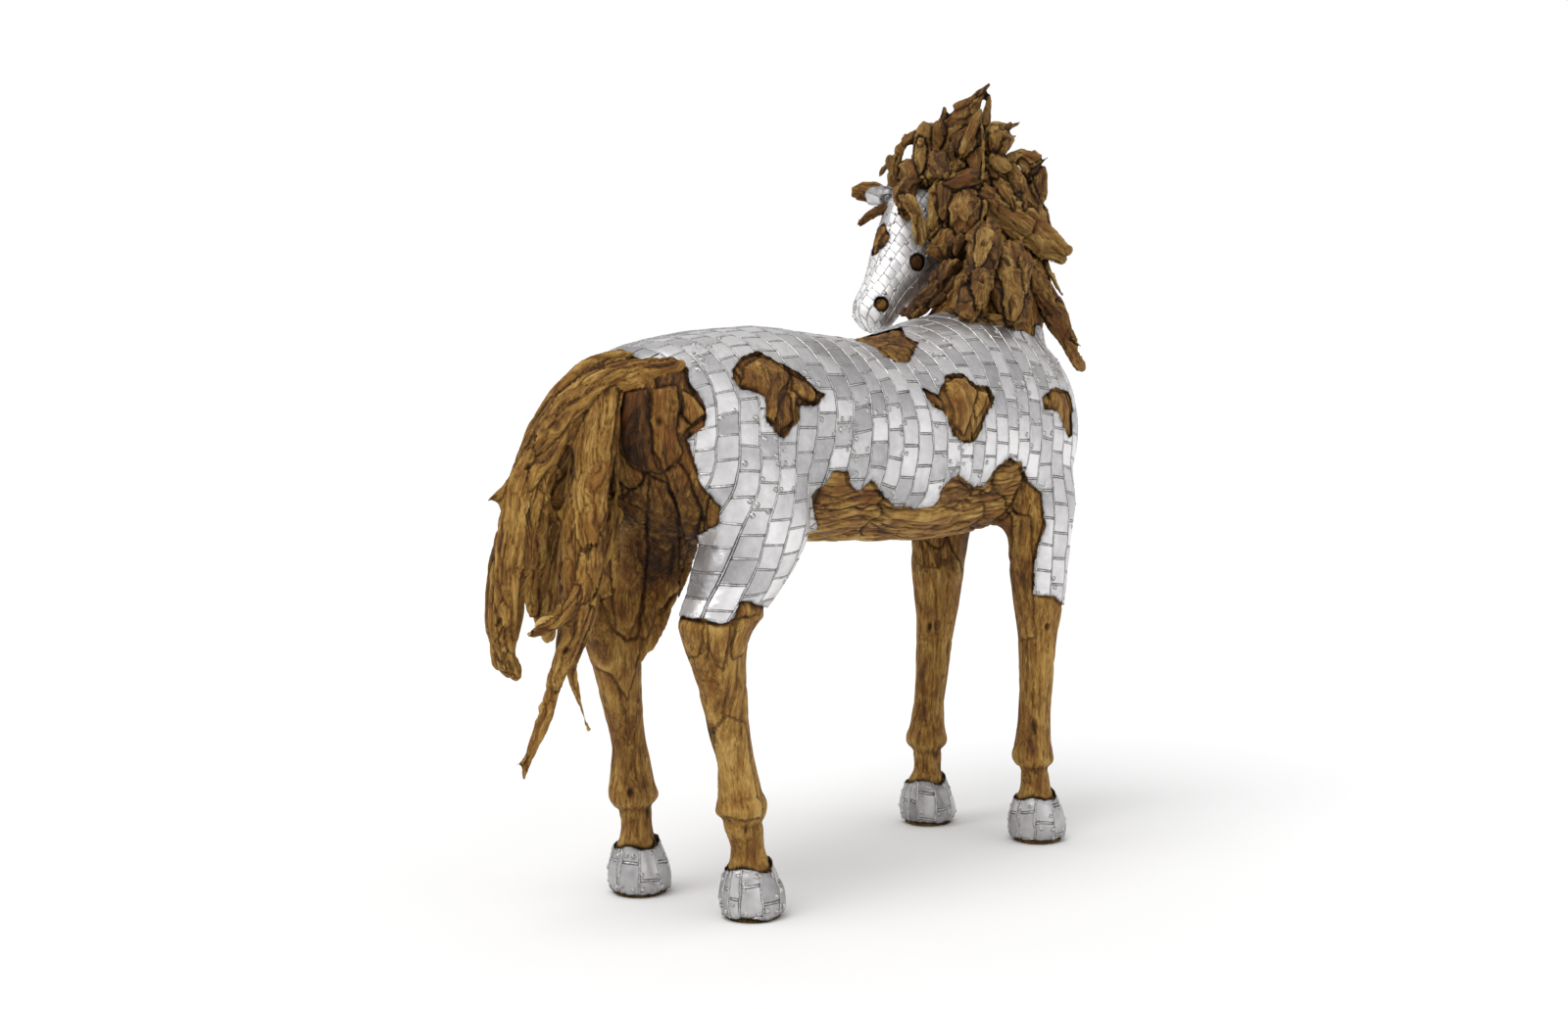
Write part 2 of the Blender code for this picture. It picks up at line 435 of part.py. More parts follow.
# Pieces of root wood: name, form, half width, half thickness, and the line that the piece
# follows. Pieces listed first keep their whole shape, later ones are cut to fit against them.
ROOTS = [
    ("tail_arch", "band", 0.050, 0.052, (-0.635, -0.020, 1.370), (-0.800, 0.000, 1.395),
     (-0.935, 0.010, 1.350), (-1.035, 0.010, 1.255), (-1.095, 0.010, 1.150)),
    ("tail_outer", "strand", 0.054, 0.047, (-0.930, 0.030, 1.335), (-1.090, 0.030, 1.195),
     (-1.145, 0.030, 1.000), (-1.180, 0.030, 0.815), (-1.190, 0.030, 0.700), (-1.140, 0.030, 0.640)),
    ("tail_middle", "strand", 0.064, 0.040, (-0.910, -0.040, 1.330), (-0.975, -0.050, 1.160),
     (-1.015, -0.050, 0.985), (-1.020, -0.050, 0.840), (-1.045, -0.050, 0.735),
     (-1.070, -0.050, 0.660)),
    ("tail_inner", "strand", 0.054, 0.042, (-0.800, 0.020, 1.340), (-0.810, 0.030, 1.200),
     (-0.855, 0.030, 1.030), (-0.885, 0.030, 0.885)),
    ("tail_far", "strand", 0.054, 0.041, (-0.840, 0.100, 1.320), (-0.930, 0.110, 1.155),
     (-0.970, 0.120, 0.960), (-0.985, 0.120, 0.790), (-0.975, 0.120, 0.700)),
    ("tail_long_root", "strand", 0.022, 0.019, (-1.055, -0.050, 0.760), (-1.100, -0.050, 0.635),
     (-1.135, -0.050, 0.535), (-1.175, -0.050, 0.465), (-1.195, -0.050, 0.400)),
    ("tail_fork", "spike", 0.018, 0.015, (-1.145, -0.050, 0.485), (-1.185, -0.050, 0.460),
     (-1.230, -0.050, 0.445)),
    ("tail_right_spike", "spike", 0.023, 0.017, (-1.035, -0.020, 0.720), (-1.005, -0.020, 0.590),
     (-0.960, -0.020, 0.485)),
    ("tail_upper_spike", "spike", 0.020, 0.015, (-1.110, 0.030, 1.145), (-1.180, 0.030, 1.095),
     (-1.240, 0.030, 1.065)),
    ("tail_side_spike", "spike", 0.023, 0.016, (-1.070, -0.070, 0.805), (-1.140, -0.070, 0.795),
     (-1.205, -0.070, 0.750)),
    ("mane_big_slab", "slab", 0.064, 0.029, (0.620, 0.055, 1.895), (0.730, -0.025, 1.800),
     (0.825, -0.120, 1.705)),
    ("mane_long_slab", "slab", 0.054, 0.031, (0.590, -0.005, 1.795), (0.485, -0.065, 1.660),
     (0.370, -0.115, 1.515)),
    ("mane_broad_slab", "slab", 0.068, 0.031, (0.655, -0.040, 1.740), (0.565, -0.115, 1.620),
     (0.530, -0.165, 1.500)),
    ("mane_throat_slab", "slab", 0.040, 0.026, (0.520, 0.060, 1.690), (0.440, 0.065, 1.595),
     (0.350, 0.095, 1.520)),
    ("mane_lower_right", "blade", 0.043, 0.023, (0.740, -0.045, 1.680), (0.750, -0.145, 1.520),
     (0.735, -0.245, 1.370)),
    ("mane_cheek_slab", "slab", 0.052, 0.030, (0.486, 0.100, 1.705), (0.530, 0.100, 1.740),
     (0.550, 0.015, 1.745)),
    ("mane_block", "blob", 0.052, 0.026, (0.585, 0.075, 1.900), (0.550, 0.050, 1.835),
     (0.540, 0.045, 1.765)),
    ("mane_crest", "blob", 0.050, 0.035, (0.530, 0.130, 1.890), (0.600, 0.085, 1.915),
     (0.720, 0.100, 1.970)),
    ("mane_top_spike", "blade", 0.047, 0.021, (0.615, 0.190, 2.010), (0.640, 0.120, 2.140),
     (0.680, 0.060, 2.220)),
    ("mane_second_spike", "spike", 0.022, 0.018, (0.720, 0.105, 2.045), (0.690, 0.080, 2.130),
     (0.675, 0.055, 2.190)),
    ("mane_third_spike", "blade", 0.029, 0.018, (0.625, 0.135, 1.970), (0.635, 0.095, 2.055),
     (0.655, 0.070, 2.145)),
    ("mane_right_knob", "blob", 0.050, 0.035, (0.705, 0.115, 2.010), (0.715, 0.060, 2.055),
     (0.730, 0.025, 2.080)),
    ("mane_right_horn", "spike", 0.022, 0.018, (0.715, 0.095, 2.040), (0.725, 0.045, 2.085),
     (0.765, 0.005, 2.110)),
    ("mane_right_curl", "slab", 0.030, 0.021, (0.755, 0.070, 1.980), (0.790, 0.025, 2.015),
     (0.825, -0.020, 2.000)),
    ("mane_right_tip", "spike", 0.022, 0.018, (0.795, 0.020, 1.940), (0.820, -0.010, 1.975),
     (0.845, -0.035, 2.010)),
    ("mane_right_strand", "slab", 0.024, 0.018, (0.830, -0.010, 1.990), (0.830, -0.020, 1.905),
     (0.800, -0.015, 1.820)),
    ("mane_far_strand", "spike", 0.019, 0.015, (0.840, 0.020, 1.920), (0.840, -0.025, 1.850),
     (0.860, -0.040, 1.780)),
    ("mane_thin_stick", "spike", 0.018, 0.013, (0.800, -0.030, 1.730), (0.805, -0.080, 1.655),
     (0.825, -0.110, 1.585)),
    ("mane_left_loop", "slab", 0.017, 0.016, (0.590, 0.235, 2.095), (0.525, 0.280, 2.035),
     (0.490, 0.270, 1.930)),
    ("mane_top_left", "slab", 0.041, 0.029, (0.585, 0.210, 2.105), (0.580, 0.230, 2.025),
     (0.520, 0.185, 1.925)),
    ("mane_poll_slab", "slab", 0.044, 0.022, (0.540, 0.230, 1.990), (0.480, 0.205, 1.915),
     (0.425, 0.185, 1.830)),
    ("mane_forelock", "slab", 0.025, 0.017, (0.435, 0.200, 1.880), (0.440, 0.140, 1.830),
     (0.465, 0.140, 1.735)),
    ("mane_peak", "spike", 0.035, 0.024, (0.615, 0.205, 2.030), (0.620, 0.190, 2.095),
     (0.610, 0.175, 2.160)),
    ("mane_crown", "blob", 0.044, 0.032, (0.540, 0.190, 1.945), (0.585, 0.150, 1.970),
     (0.665, 0.130, 1.985)),
    ("mane_left_drop", "slab", 0.038, 0.026, (0.560, 0.125, 1.930), (0.520, 0.120, 1.840),
     (0.510, 0.140, 1.755)),
    ("mane_right_drop", "slab", 0.038, 0.026, (0.790, 0.015, 1.775), (0.780, -0.045, 1.640),
     (0.755, -0.085, 1.515)),
    ("mane_right_upper", "slab", 0.047, 0.027, (0.775, 0.045, 1.955), (0.795, 0.000, 1.860),
     (0.810, -0.040, 1.750)),
    ("mane_base_right", "slab", 0.025, 0.017, (0.415, -0.025, 1.550), (0.430, -0.110, 1.520),
     (0.545, -0.140, 1.500)),
    ("mane_neck_front_high", "slab", 0.045, 0.028, (0.700, 0.250, 2.000), (0.790, 0.230, 1.930),
     (0.850, 0.190, 1.820)),
    ("mane_neck_front_low", "slab", 0.050, 0.030, (0.830, 0.090, 1.860), (0.870, 0.080, 1.740),
     (0.850, 0.050, 1.600)),
    ("mane_neck_left_high", "slab", 0.045, 0.028, (0.640, 0.290, 2.010), (0.680, 0.340, 1.930),
     (0.700, 0.330, 1.820)),
    ("mane_neck_left_low", "slab", 0.045, 0.028, (0.760, 0.250, 1.860), (0.810, 0.210, 1.740),
     (0.790, 0.150, 1.610)),
    ("mane_neck_left_mid", "slab", 0.042, 0.026, (0.600, 0.330, 2.000), (0.620, 0.370, 1.910),
     (0.600, 0.365, 1.800)),
    ("mane_poll_back", "slab", 0.040, 0.026, (0.690, 0.220, 2.030), (0.760, 0.260, 1.990),
     (0.810, 0.250, 1.900)),
    ("ear", "leaf", 0.037, 0.014, (0.520, 0.280, 1.872), (0.475, 0.335, 1.900), (0.427, 0.390, 1.903)),
    ("brow_root", "slab", 0.018, 0.013, (0.475, 0.290, 1.855), (0.440, 0.325, 1.830),
     (0.425, 0.355, 1.800)),
]
# How full each form is from root to tip.
FORMS = {
    "blade": [0.75, 1.00, 0.85, 0.50, 0.22], "spike": [1.00, 0.85, 0.60, 0.40, 0.22],
    "slab": [0.70, 1.00, 0.95, 0.85, 0.45], "blob": [0.65, 1.00, 1.05, 0.95, 0.60],
    "leaf": [0.45, 0.85, 1.00, 0.90, 0.50], "band": [0.80, 1.00, 1.00, 0.95, 0.70],
    "strand": [0.70, 1.00, 1.00, 0.80, 0.30],
}
FACING = Vector((0.71, 0.70, 0.0))      # the flat faces of the pieces look along this line


def wobble(*numbers):
    """A fixed number from -1 to 1 that looks random."""
    t = math.sin(sum(n * k for n, k in zip(numbers, (12.9898, 78.233, 37.719)))) * 43758.5453
    return 2 * (t - math.floor(t)) - 1


def root_rings(number, form, half_w, half_t, line):
    rows = smooth_rows([(*p,) for p in line], 3)
    mid = [Vector(r) for r in rows]
    steps = 6 if len(line) > 4 else (5 if len(line) > 3 else 4)
    fill = FORMS[form]
    for k in range(steps + 1):
        t = k / steps
        at = t * (len(mid) - 1)
        i = min(int(at), len(mid) - 2)
        centre = mid[i].lerp(mid[i + 1], at - i)
        way = (mid[i + 1] - mid[i]).normalized()
        wide = way.cross(FACING).normalized()
        deep = wide.cross(way).normalized()
        at = t * (len(fill) - 1)
        j = min(int(at), len(fill) - 2)
        full = fill[j] + (fill[j + 1] - fill[j]) * (at - j)
        twist = 0.35 * wobble(number, 7.7) * (t - 0.5)
        wide, deep = (wide * math.cos(twist) + deep * math.sin(twist),
                      deep * math.cos(twist) - wide * math.sin(twist))
        sides = 6
        pts = []
        for m in range(sides):
            a = 2 * math.pi * (m + 0.5) / sides
            rough = 1 + 0.16 * wobble(number, k, m)
            pts.append(centre + wide * (math.cos(a) * half_w * full * rough)
                       + deep * (math.sin(a) * half_t * math.sqrt(full) * 1.1 * rough))
        yield pts


def grown(obj, by):
    """A copy of a solid, pushed out along its normals, to cut others with."""
    mesh = obj.data.copy()
    normals = [v.normal.copy() for v in mesh.vertices]
    for v, n in zip(mesh.vertices, normals):
        v.co += n * by
    cutter = bpy.data.objects.new("cutter", mesh)
    bpy.context.scene.collection.objects.link(cutter)
    cutter.hide_render = True
    cutter.display_type = "WIRE"
    return cutter


def box_of(obj):
    p = np.array([v.co[:] for v in obj.data.vertices])
    return p.min(0), p.max(0)


def meet(a, b):
    (al, ah), (bl, bh) = a, b
    return bool(np.all(al < bh + 0.002) and np.all(bl < ah + 0.002))


def largest_body(bm):
    left, bodies = set(bm.verts), []
    while left:
        todo = [left.pop()]
        found = list(todo)
        while todo:
            for e in todo.pop().link_edges:
                for v in e.verts:
                    if v in left:
                        left.remove(v)
                        todo.append(v)
                        found.append(v)
        bodies.append(found)
    def size(vs):
        p = np.array([v.co[:] for v in vs])
        return float(np.prod(p.max(0) - p.min(0) + 1e-4))
    bodies.sort(key=size)
    for vs in bodies[:-1]:
        bmesh.ops.delete(bm, geom=vs, context="VERTS")


def closed(bm):
    return len(bm.faces) > 3 and all(len(e.link_faces) == 2 for e in bm.edges)


def minus(bm, cutters):
    """What is left of a solid outside the cutters: its largest body, tidied."""
    for cutter in cutters:
        work = solid_object("work", bm, None)
        bm = through(work, ("BOOLEAN", dict(operation="DIFFERENCE", solver="EXACT", object=cutter)))
        bmesh.ops.remove_doubles(bm, verts=bm.verts[:], dist=0.00005)
        bmesh.ops.dissolve_degenerate(bm, edges=bm.edges[:], dist=0.00005)
        bmesh.ops.dissolve_limit(bm, angle_limit=math.radians(1.0), verts=bm.verts[:],
                                 edges=bm.edges[:])
        bmesh.ops.triangulate(bm, faces=bm.faces[:])
        largest_body(bm)
    return bm


def tree_of(bm):
    return BVHTree.FromBMesh(bm)


def simpler(bm, neighbours):
    """The solid with fewer triangles, where that keeps it clear of its neighbours."""
    if len(bm.faces) < 60:
        return bm
    for share in (0.45, 0.55, 0.65, 0.75, 0.85):
        trial = solid_object("trial", bm.copy(), None)
        trial = through(trial, ("DECIMATE", dict(ratio=share)))
        bmesh.ops.triangulate(trial, faces=trial.faces[:])
        tree = tree_of(trial)
        if closed(trial) and not any(tree.overlap(n) for n in neighbours):
            bm.free()
            return trial
        trial.free()
    return bm


fixed = [body] + claddings
pieces = []
tools, trees = [], []


def add_neighbour(obj):
    tools.append(grown(obj, GAP))
    bm = bmesh.new()
    bm.from_mesh(obj.data)
    trees.append(tree_of(bm))
    bm.free()


for o in fixed:
    add_neighbour(o)
for number, (name, form, half_w, half_t, *line) in enumerate(ROOTS):
    for nudge in (0.0, 0.0011, -0.0013, 0.0023):
        bm = bmesh.new()
        made = list(root_rings(number, form, half_w, half_t, line))
        made = [[p + Vector((nudge, -nudge, 0.7 * nudge)) for p in r] for r in made]
        loft(bm, made)
        bmesh.ops.triangulate(bm, faces=bm.faces[:])
        p = np.array([v.co[:] for v in bm.verts])
        near = [k for k, t in enumerate(tools) if meet((p.min(0), p.max(0)), box_of(t))]
        bm = minus(bm, [tools[k] for k in near])
        if closed(bm):
            break
        bm.free()
    bm = simpler(bm, [trees[k] for k in near])
    piece = solid_object(name, bm, "mane_wood" if name.startswith("mane") else "root_wood")
    pieces.append(piece)
    add_neighbour(piece)
for t in tools:
    bpy.data.objects.remove(t, do_unlink=True)

ear = pieces[[r[0] for r in ROOTS].index("ear")]
ear_middle = Vector((0.470, 0.340, 1.892))


def ear_cover(p):
    d = p - np.array(ear_middle)
    ahead = d @ np.array(FACING)
    return np.minimum(0.030 - np.linalg.norm(d, axis=1), 0.002 - ahead)


ear_bm = bmesh.new()
ear_bm.from_mesh(ear.data)
split_for_cover(ear_bm, ear_cover, 0.002, 0.012)
ear_bm.to_mesh(ear.data)
ear_bm.free()
ear_patch = sheet_over(ear, ear_cover, "ear_patch", thick=0.002)
fixed.append(ear_patch)

everything = fixed + pieces
low = np.min([box_of(o)[0] for o in everything], axis=0)
high = np.max([box_of(o)[1] for o in everything], axis=0)
shift = Vector((-(low[0] + high[0]) / 2, -(low[1] + high[1]) / 2, -SOLE))
for o in everything:
    for v in o.data.vertices:
        v.co += shift
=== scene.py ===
# Looks of a life-size standing horse, built up of root wood and partly clad in welded metal
# plates. Metres, +Z up; the horse faces +X and its left side is +Y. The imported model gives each
# piece its place and size; this script makes the surfaces, seams, nails and finishes.
from itertools import product
import math
import bpy
import bmesh
import numpy as np
from mathutils import Matrix, Vector
from mathutils.bvhtree import BVHTree


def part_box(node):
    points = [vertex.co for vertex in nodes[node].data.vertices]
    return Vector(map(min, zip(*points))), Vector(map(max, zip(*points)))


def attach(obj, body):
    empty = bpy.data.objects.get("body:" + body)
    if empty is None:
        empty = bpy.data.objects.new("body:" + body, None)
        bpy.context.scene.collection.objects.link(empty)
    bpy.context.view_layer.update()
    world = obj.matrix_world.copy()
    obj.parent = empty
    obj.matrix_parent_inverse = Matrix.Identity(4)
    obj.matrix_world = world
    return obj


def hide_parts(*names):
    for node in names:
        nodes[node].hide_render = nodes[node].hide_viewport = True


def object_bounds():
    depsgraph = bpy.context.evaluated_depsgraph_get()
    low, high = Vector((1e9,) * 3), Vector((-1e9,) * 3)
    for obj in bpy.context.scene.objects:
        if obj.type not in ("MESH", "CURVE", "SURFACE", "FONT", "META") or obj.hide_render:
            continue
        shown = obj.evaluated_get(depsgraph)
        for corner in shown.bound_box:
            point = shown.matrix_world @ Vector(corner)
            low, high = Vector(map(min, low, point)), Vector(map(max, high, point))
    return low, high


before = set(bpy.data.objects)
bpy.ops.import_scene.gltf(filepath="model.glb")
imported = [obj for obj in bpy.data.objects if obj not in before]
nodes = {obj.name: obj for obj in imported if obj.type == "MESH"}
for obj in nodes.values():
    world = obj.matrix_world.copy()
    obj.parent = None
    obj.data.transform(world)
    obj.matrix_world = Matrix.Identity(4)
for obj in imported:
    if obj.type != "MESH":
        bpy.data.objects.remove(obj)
CAD_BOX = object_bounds()

# Sizes in metres.
SHIFT = np.array((0.1664, -0.0364, 0.0120))     # from the horse's own axes to the frame's
COARSE_GRID = 0.011         # grid of the first, smoothed skin of the body
BODY_GRID = 0.0060          # grid of the body's wood
BODY_TRIANGLES = 190000
HIDDEN_LESS = 0.88          # share of the faces that the wood under the metal loses
SHEET_GRID = 0.0088         # grid of the metal on the body
ROOT_GRID = 0.0046          # grid of the mane pieces
TAIL_GRID = 0.0052
EAR_GRID = 0.0035           # grid of the ear and the root under it
SHEET_LIFT = 0.0042         # top of the metal over the smooth wood
SHEET_THICK = 0.0016
BEAD = 0.0023               # radius of a weld bead
NAIL = 0.0058               # radius of a nail head
HEAD_MIDDLE = 0.250         # sideways place of the head's own middle
BARREL = 1.15               # height of the middle of the trunk
FLAT_BENDS = (1.0, 1.0, 0.12)       # the belly's fibres hardly bend inward
FETLOCK_HEIGHT = 0.235      # where the photo doesn't show one
COLUMN_TURN = 12.9898       # sets how the plates of a column stand to the next ones
GOLDEN_TURN = 2.39996       # spreads chips evenly round the mane

# Edges of the cladding on a chart of the body's side: reach = 0.70 x + 0.71 |y|, and height.
RIGHT_EDGE = [
    (-0.60, 1.60), (-0.58, 1.42), (-0.51, 1.39), (-0.43, 1.395), (-0.413, 1.35), (-0.372, 1.28),
    (-0.375, 1.24), (-0.42, 1.21), (-0.40, 1.15), (-0.375, 1.085), (-0.337, 1.045), (-0.34, 1.00),
    (-0.395, 0.965), (-0.405, 0.91), (-0.45, 0.775), (-0.384, 0.773), (-0.336, 0.760),
    (-0.303, 0.778), (-0.298, 0.814), (-0.27, 0.815), (-0.23, 0.79), (-0.16, 0.80), (-0.11, 0.88),
    (-0.10, 0.98), (-0.125, 1.06), (-0.088, 1.085), (-0.063, 1.122), (-0.022, 1.115),
    (-0.018, 1.085), (0.008, 1.062), (0.042, 1.09), (0.078, 1.045), (0.107, 1.017),
    (0.182, 1.006), (0.224, 1.012), (0.241, 1.053), (0.263, 1.088), (0.29, 1.088),
    (0.314, 1.064), (0.37, 1.05), (0.40, 1.10), (0.447, 1.128), (0.483, 1.108), (0.509, 1.058),
    (0.555, 1.02), (0.567, 0.93), (0.541, 0.83), (0.54, 0.725), (0.60, 0.715), (0.635, 0.68),
    (0.80, 0.68), (0.80, 1.47), (0.56, 1.49), (0.51, 1.50), (0.45, 1.48), (0.40, 1.485),
    (0.33, 1.505), (0.26, 1.535), (0.22, 1.60),
]
LEFT_EDGE = [
    (-0.60, 1.60), (-0.57, 1.42), (-0.49, 1.40), (-0.42, 1.37), (-0.37, 1.28), (-0.39, 1.19),
    (-0.33, 1.10), (-0.30, 1.00), (-0.33, 0.90), (-0.36, 0.79), (-0.33, 0.765), (-0.29, 0.80),
    (-0.24, 0.775), (-0.16, 0.80), (-0.10, 0.90), (-0.12, 1.04), (-0.05, 1.10), (0.04, 1.05),
    (0.12, 1.02), (0.20, 1.05), (0.27, 1.10), (0.35, 1.06), (0.43, 1.12), (0.50, 1.06),
    (0.57, 0.98), (0.60, 0.87), (0.61, 0.71), (0.80, 0.69), (0.80, 1.44), (0.52, 1.44),
    (0.36, 1.46), (0.27, 1.53), (0.22, 1.60),
]
RIGHT_HOLES = [
    [(-0.316, 1.375), (-0.283, 1.41), (-0.25, 1.42), (-0.215, 1.40), (-0.168, 1.375),
     (-0.124, 1.345), (-0.085, 1.31), (-0.10, 1.285), (-0.149, 1.287), (-0.148, 1.25),
     (-0.19, 1.205), (-0.232, 1.25), (-0.234, 1.31), (-0.296, 1.33)],
    [(0.177, 1.33), (0.23, 1.302), (0.254, 1.357), (0.30, 1.359), (0.338, 1.331), (0.385, 1.32),
     (0.397, 1.295), (0.36, 1.22), (0.332, 1.178), (0.306, 1.174), (0.268, 1.196), (0.243, 1.262),
     (0.212, 1.27)],
    [(0.55, 1.29), (0.592, 1.315), (0.64, 1.308), (0.658, 1.25), (0.655, 1.18), (0.638, 1.17),
     (0.60, 1.25), (0.56, 1.258)],
    [(0.00, 1.60), (0.008, 1.448), (0.067, 1.425), (0.086, 1.403), (0.121, 1.390),
     (0.152, 1.387), (0.170, 1.412), (0.188, 1.442), (0.155, 1.465), (0.145, 1.60)],
]
LEFT_HOLES = [
    [(-0.31, 1.33), (-0.285, 1.375), (-0.25, 1.385), (-0.21, 1.41), (-0.16, 1.37), (-0.135, 1.375),
     (-0.11, 1.33), (-0.125, 1.28), (-0.165, 1.27), (-0.155, 1.225), (-0.20, 1.185),
     (-0.235, 1.225), (-0.24, 1.27), (-0.275, 1.28)],
    [(0.19, 1.30), (0.225, 1.315), (0.25, 1.36), (0.30, 1.335), (0.35, 1.345), (0.395, 1.30),
     (0.375, 1.25), (0.345, 1.225), (0.34, 1.165), (0.305, 1.15), (0.28, 1.19), (0.235, 1.20),
     (0.225, 1.255)],
    [(0.00, 1.60), (0.01, 1.45), (0.04, 1.425), (0.075, 1.432), (0.11, 1.405), (0.15, 1.45),
     (0.145, 1.60)],
]
INNER_EDGE = 0.165          # how far from the middle the metal ends inside the legs
POLL_EDGE = 1.905           # the metal of the head, from here
CHIN_EDGE = 1.468           # down to here
# Openings in the metal of the face: place and size.
EYE = ((0.479, 0.082, 1.687), 0.028)
NOSTRIL = ((0.355, 0.053, 1.563), 0.024)
BROW_PATCH = ((0.430, 0.272, 1.757), (0.050, 0.037, 0.046))
# Outline of the ear's metal in pixels of the photo, and the size of a pixel there.
EAR_PLATE = [(882, 198), (887, 192), (900, 190), (914, 194), (914, 213), (896, 211), (885, 206)]
EAR_PIXEL = 0.0029
HOOF_TOP = 0.128            # the metal of a hoof, from here
SOLE_RIM = 0.015            # down to here
HOOF_REACH = 0.14           # all of a hoof is nearer to its middle than this
HOOF_FLARE = 0.05           # how much wider than its smoothed solid a hoof is, low down
# The camera that took the photo, and its picture in pixels.
CAMERA_PLACE = (-4.1271, -3.9738, 1.432)
CAMERA_AHEAD = (0.71382, 0.69662, -0.07191)
CAMERA_LENS = 48.375
SENSOR = 36.0
PHOTO_WIDE, MIDDLE_X, MIDDLE_Y = 1600, 800, 515
CAMERA = Vector(CAMERA_PLACE)
AHEAD = Vector(CAMERA_AHEAD).normalized()
RIGHT = AHEAD.cross(Vector((0, 0, 1))).normalized()
UP = RIGHT.cross(AHEAD)
# Joints between pieces of wood and knots, as pixels of the photo.
WOOD_JOINTS = [
    [(693, 414), (696, 426), (706, 435), (693, 448)], [(676, 461), (684, 480), (692, 500)],
    [(632, 494), (634, 523), (629, 550)], [(662, 484), (663, 510), (657, 550), (650, 570)],
    [(595, 644), (600, 667), (603, 700)], [(636, 670), (641, 691), (638, 722), (639, 750)],
    [(703, 663), (714, 682), (712, 703)], [(623, 818), (642, 824), (663, 818)],
    [(1060, 612), (1062, 640), (1070, 660)], [(942, 545), (941, 610)],
    [(966, 602), (944, 614)], [(976, 538), (974, 590)], [(1038, 775), (1056, 785), (1072, 778)],
    [(924, 757), (942, 765), (958, 757)], [(882, 349), (910, 350), (930, 353)],
    [(1078, 410), (1077, 425), (1080, 440)],
]
WOOD_KNOTS = [(1056, 742, 0.010, 0.024), (644, 809, 0.009, 0.012), (753, 350, 0.012, 0.010),
              (674, 430, 0.009, 0.012), (1069, 640, 0.010, 0.012), (948, 640, 0.008, 0.014)]
# The fetlocks, as pixels of the photo, and the middles of the hooves in the horse's own axes.
FETLOCKS = {"right_hind": (757, 836), "left_hind": (643, 822), "right_fore": (1056, 783),
            "left_fore": (942, 762)}
HOOVES = {"right_hind": (-0.585, -0.195), "left_hind": (-0.620, 0.195),
          "right_fore": (0.602, -0.192), "left_fore": (0.557, 0.192)}
# Chips of the mane, as pixels of the photo: from, to, width in pixels; and lift in metres.
MANE_CHIPS = [
    (957, 122, 955, 155, 20, 0.010), (940, 140, 938, 178, 18, 0.000),
    (986, 133, 967, 160, 15, 0.020), (1002, 112, 979, 162, 13, 0.030),
    (1017, 131, 1017, 158, 27, 0.020), (962, 156, 963, 181, 24, 0.030),
    (996, 150, 999, 177, 17, 0.015), (1004, 177, 963, 188, 21, 0.030),
    (1002, 124, 1003, 189, 6, 0.035), (1012, 155, 1032, 174, 18, 0.020),
    (1004, 167, 1018, 181, 10, 0.030), (1013, 178, 1031, 187, 12, 0.020),
    (1029, 168, 1046, 213, 20, 0.000), (961, 184, 962, 227, 17, 0.020),
    (919, 207, 929, 225, 13, 0.005), (950, 254, 962, 267, 12, 0.010),
    (1000, 323, 1022, 335, 10, 0.000), (1056, 262, 1055, 301, 8, 0.000),
    (966, 300, 948, 315, 12, 0.010), (1035, 300, 1034, 328, 13, 0.030),
    (1094, 345, 1105, 355, 5, 0.000), (1053, 171, 1064, 164, 5, 0.000),
    (1040, 163, 1053, 183, 9, 0.000), (1046, 186, 1060, 216, 9, -0.010),
    (1010, 178, 1034, 202, 18, -0.020), (990, 158, 1030, 166, 24, -0.030),
    (1000, 140, 1012, 165, 18, -0.020),
    (975, 120, 990, 150, 16, -0.020), (1020, 190, 1036, 225, 16, -0.010),
    (1006, 234, 996, 274, 24, 0.014), (985, 278, 974, 320, 22, 0.012),
    (1004, 274, 1000, 318, 25, 0.014), (1024, 262, 1033, 327, 30, 0.014),
    (1047, 258, 1043, 302, 18, 0.010), (982, 238, 975, 262, 16, 0.006),
    (996, 122, 999, 152, 11, 0.000), (907, 158, 915, 186, 12, 0.000),
    (1018, 174, 1029, 180, 13, -0.010),
]
# How much lighter or darker than the rest some pieces of the mane are.
MANE_TONES = {"mane_long_slab": -0.38, "mane_broad_slab": -0.28, "mane_big_slab": 0.15}
MANE_SPIKES = ("mane_top_spike",)      # drawn out to a point
